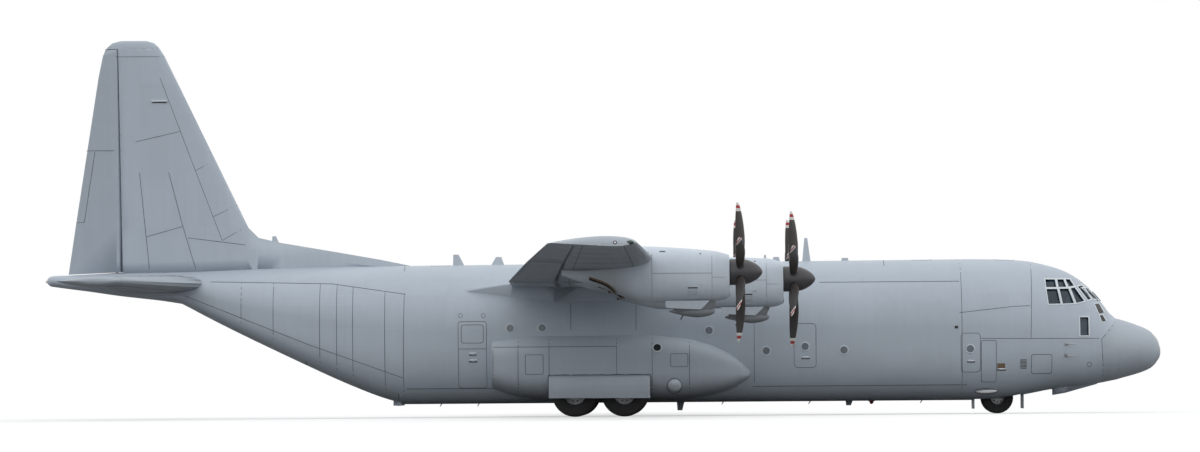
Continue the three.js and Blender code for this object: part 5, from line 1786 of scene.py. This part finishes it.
def landing_gear():
    for label, side in SIDES.items():
        out = side * LEG_OUT
        frames, rods = [], []
        for station in MAIN_STATIONS.values():
            frames += collars(station, out, MAIN_RINGS)
            frames += torque_link(station, out, 690, 960, 190, 70)
            ends = above_ground(station + 120, out, 1400), above_ground(station + 78, out, 760)
            frames.append(bar("line", *ends, 9, sides=8))
            rods += collars(station, out, [(728, 908, 70)])
        dress(joined(f"main_leg_fittings_{label}", frames), "white_leg")
        dress(joined(f"main_leg_rods_{label}", rods), "chrome")
    fixed = collars(NOSE_STATION, 0, NOSE_RINGS)
    for side in SIDES.values():
        start = above_ground(NOSE_STATION - 30, side * 150, 880)
        fixed.append(bar("steering_jack", start, start + Vector((-230 * MM, 0, 0)), 30, sides=20))
        ends = [(96, side * 40, 860), (100, side * 30, 1500)]
        ends = [above_ground(NOSE_STATION + aft, out, height) for aft, out, height in ends]
        fixed.append(bar("line", *ends, 8, sides=8))
    dress(joined("nose_leg_fittings", fixed), "white_leg")
    moving = torque_link(NOSE_STATION, 0, 560, 800, 170, 58) + collars(NOSE_STATION, 0, STRUT_RINGS)
    dress(joined("nose_strut_fittings", moving), "white_leg", "nose_strut")
    rod = collars(NOSE_STATION, 0, [(638, 772, 69)])
    dress(joined("nose_strut_rod", rod), "chrome", "nose_strut")
    middle = above_ground(NOSE_STATION - 150, 0, 1110)
    for name, profile, finish in [
        ("taxi_lamp", TAXI_LAMP, "hub"), ("taxi_lamp_lens", TAXI_LENS, "lamp"),
    ]:
        dress(spun(name, profile, middle, (1, 0, -0.05), 32), finish)
    arm = bar("taxi_lamp_arm", middle, above_ground(NOSE_STATION - 60, 0, 1110), 24)
    dress(arm, "white_leg")


# Bay doors: a rounded sheet with ribs across its inner face
def nose_bay_doors():
    for end in ("front", "rear"):
        node = f"nose_gear_door_{end}"
        low, high = (Vector(corner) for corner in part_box(node))
        size = high - low
        bpy.ops.mesh.primitive_cube_add(size=1, location=(low + high) / 2, scale=size)
        sheet = dress(bevelled(settled(f"{node}_sheet"), 14, 3), "nose")
        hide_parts(node)
        face = high.x if end == "rear" else low.x
        ribs = []
        for share in (0.2, 0.5, 0.8):
            bpy.ops.mesh.primitive_cube_add(
                size=1, location=(face, 0, low.z + size.z * share),
                scale=(16 * MM, size.y * 0.86, 26 * MM),
            )
            ribs.append(bevelled(settled("rib"), 5))
        dress(joined(f"{node}_ribs", ribs), "pod")


# Flight deck, as it shows through the windows and the open crew door

SEAT_OUT = 560
VOXEL = 0.006
PRESSURE = 4
CLOTH_FRAMES = 20
SCREEN_OUTS = (-720, -500, -110, 110, 500, 720)
LEVER_OUTS = (-105, -35, 35, 105)


def around(middle, half):
    return middle - half, middle + half


# A cushion that cloth under pressure has swelled, kept near its first shape
def pad(name, stations, outs, heights, cap=14):
    piece = block(name, stations, outs, heights, 26, 3)
    modified(piece, "REMESH", mode="VOXEL", voxel_size=VOXEL)
    still = measured(piece.data)
    alone(piece)
    cloth = piece.modifiers.new("cloth", "CLOTH")
    cloth.settings.use_pressure = True
    cloth.settings.uniform_pressure_force = PRESSURE
    cloth.settings.effector_weights.gravity = 0
    for step in range(CLOTH_FRAMES):
        bpy.context.scene.frame_set(step + 1)
    bpy.ops.object.modifier_apply(modifier=cloth.name)
    bpy.context.scene.frame_set(1)
    moved = measured(piece.data) - still
    far = np.linalg.norm(moved, axis=1, keepdims=True)
    set_points(piece.data, still + moved * np.minimum(1, cap / np.maximum(far, 0.001)))
    modified(piece, "SUBSURF", levels=1, render_levels=1)
    painted(smooth(piece, 60), "fabric")
    mount(piece, slot="seat")


def pilot_seat(label, side):
    middle = side * SEAT_OUT
    outs = around(middle, 225)
    frames = [
        block("part", (3440, 3740), around(middle, 140), (1854, 2190), 24),
        block("part", (3345, 3890), around(middle, 250), (2186, 2216), 12),
        block("part", (3900, 3932), around(middle, 245), (2216, 3050), 14),
    ]
    belts = []
    for way in (-1, 1):
        rest = middle + way * 262
        frames += [
            block("part", (3450, 3880), around(rest, 26), (2470, 2510), 12),
            bar("part", spot(3860, rest, 2220), spot(3880, rest, 2480), 16),
            block("part", (3380, 3860), around(middle + way * 150, 20), (1854, 1884), 6),
        ]
        belts.append(block("belt", (3786, 3792), around(middle + way * 95, 24), (2360, 2880), 2))
    frame_piece = dress(joined(f"pilot_seat_frame_{label}", frames), "dark", slot="seat")
    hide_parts(f"pilot_seat_{label}")
    pad(f"seat_cushion_{label}", (3350, 3770), outs, (2232, 2330))
    pad(f"back_cushion_{label}", (3812, 3886), outs, (2362, 2860))
    pad(f"headrest_{label}", (3815, 3886), around(middle, 120), (2900, 3040), 8)
    dress(joined(f"shoulder_straps_{label}", belts), "pale_edge", slot="seat")


def flight_deck():
    for label, side in SIDES.items():
        pilot_seat(label, side)
        middle = side * SEAT_OUT
        grip = [spot(2864, out, 2560) for out in around(middle, 140)]
        yoke = [
            bar("part", spot(2900, middle, 1856), spot(2872, middle, 2520), 24, 20),
            oval("part", spot(2862, middle, 2560), 150, 86, 14),
            bar("part", *grip, 16),
        ]
        dress(joined(f"control_column_{label}", yoke), "dark", slot="dark_trim")
    shield = block("glare_shield", (2470, 2850), (-940, 940), (2834, 2884), 22)
    dress(shield, "dark", slot="dark_trim")
    for name, stations, half, heights, bevel, finish in [
        ("display_screens", (2789, 2799), 92, (2590, 2780), 6, "screen"),
        ("display_frames", (2786, 2796), 104, (2578, 2792), 5, "steel"),
    ]:
        pieces = [block("part", stations, around(out, half), heights, bevel) for out in SCREEN_OUTS]
        dress(joined(name, pieces), finish)
    levers = []
    for out in LEVER_OUTS:
        levers.append(bar("lever", spot(3010, out, 2470), spot(2985, out, 2590), 9, sides=12))
        levers.append(ball("knob", spot(2985, out, 2600), (22, 22, 20), 16))
    dress(joined("power_levers", levers), "steel")
    board = block("console_board", (2800, 3290), (-178, 178), (2478, 2496), 6)
    dress(board, "pod", slot="dark_trim")


fuselage()
flying_surfaces()
nacelles()
pods()
fuselage_fittings()
flight_deck_windows()
pod_fittings()
for name, engine in ENGINES.items():
    for label, side in SIDES.items():
        nacelle_fittings(name, engine, side, label)
tail_and_wing_fittings()
propellers()
wheels()
landing_gear()
nose_bay_doors()
flight_deck()

# CAD pieces that show as they are
PLAIN_NODES = {
    "lining": ["cargo_floor", "forward_bulkhead", "flight_deck_floor"],
    "dark": ["instrument_panel"],
    "white_leg": [
        "main_gear_legs_left", "main_gear_legs_right", "nose_gear_leg", "nose_gear_strut",
    ],
    "steel": [f"engine_{name}_{label}" for name in ENGINES for label in SIDES],
}
for finish, names in PLAIN_NODES.items():
    for node in names:
        painted(nodes[node], finish)
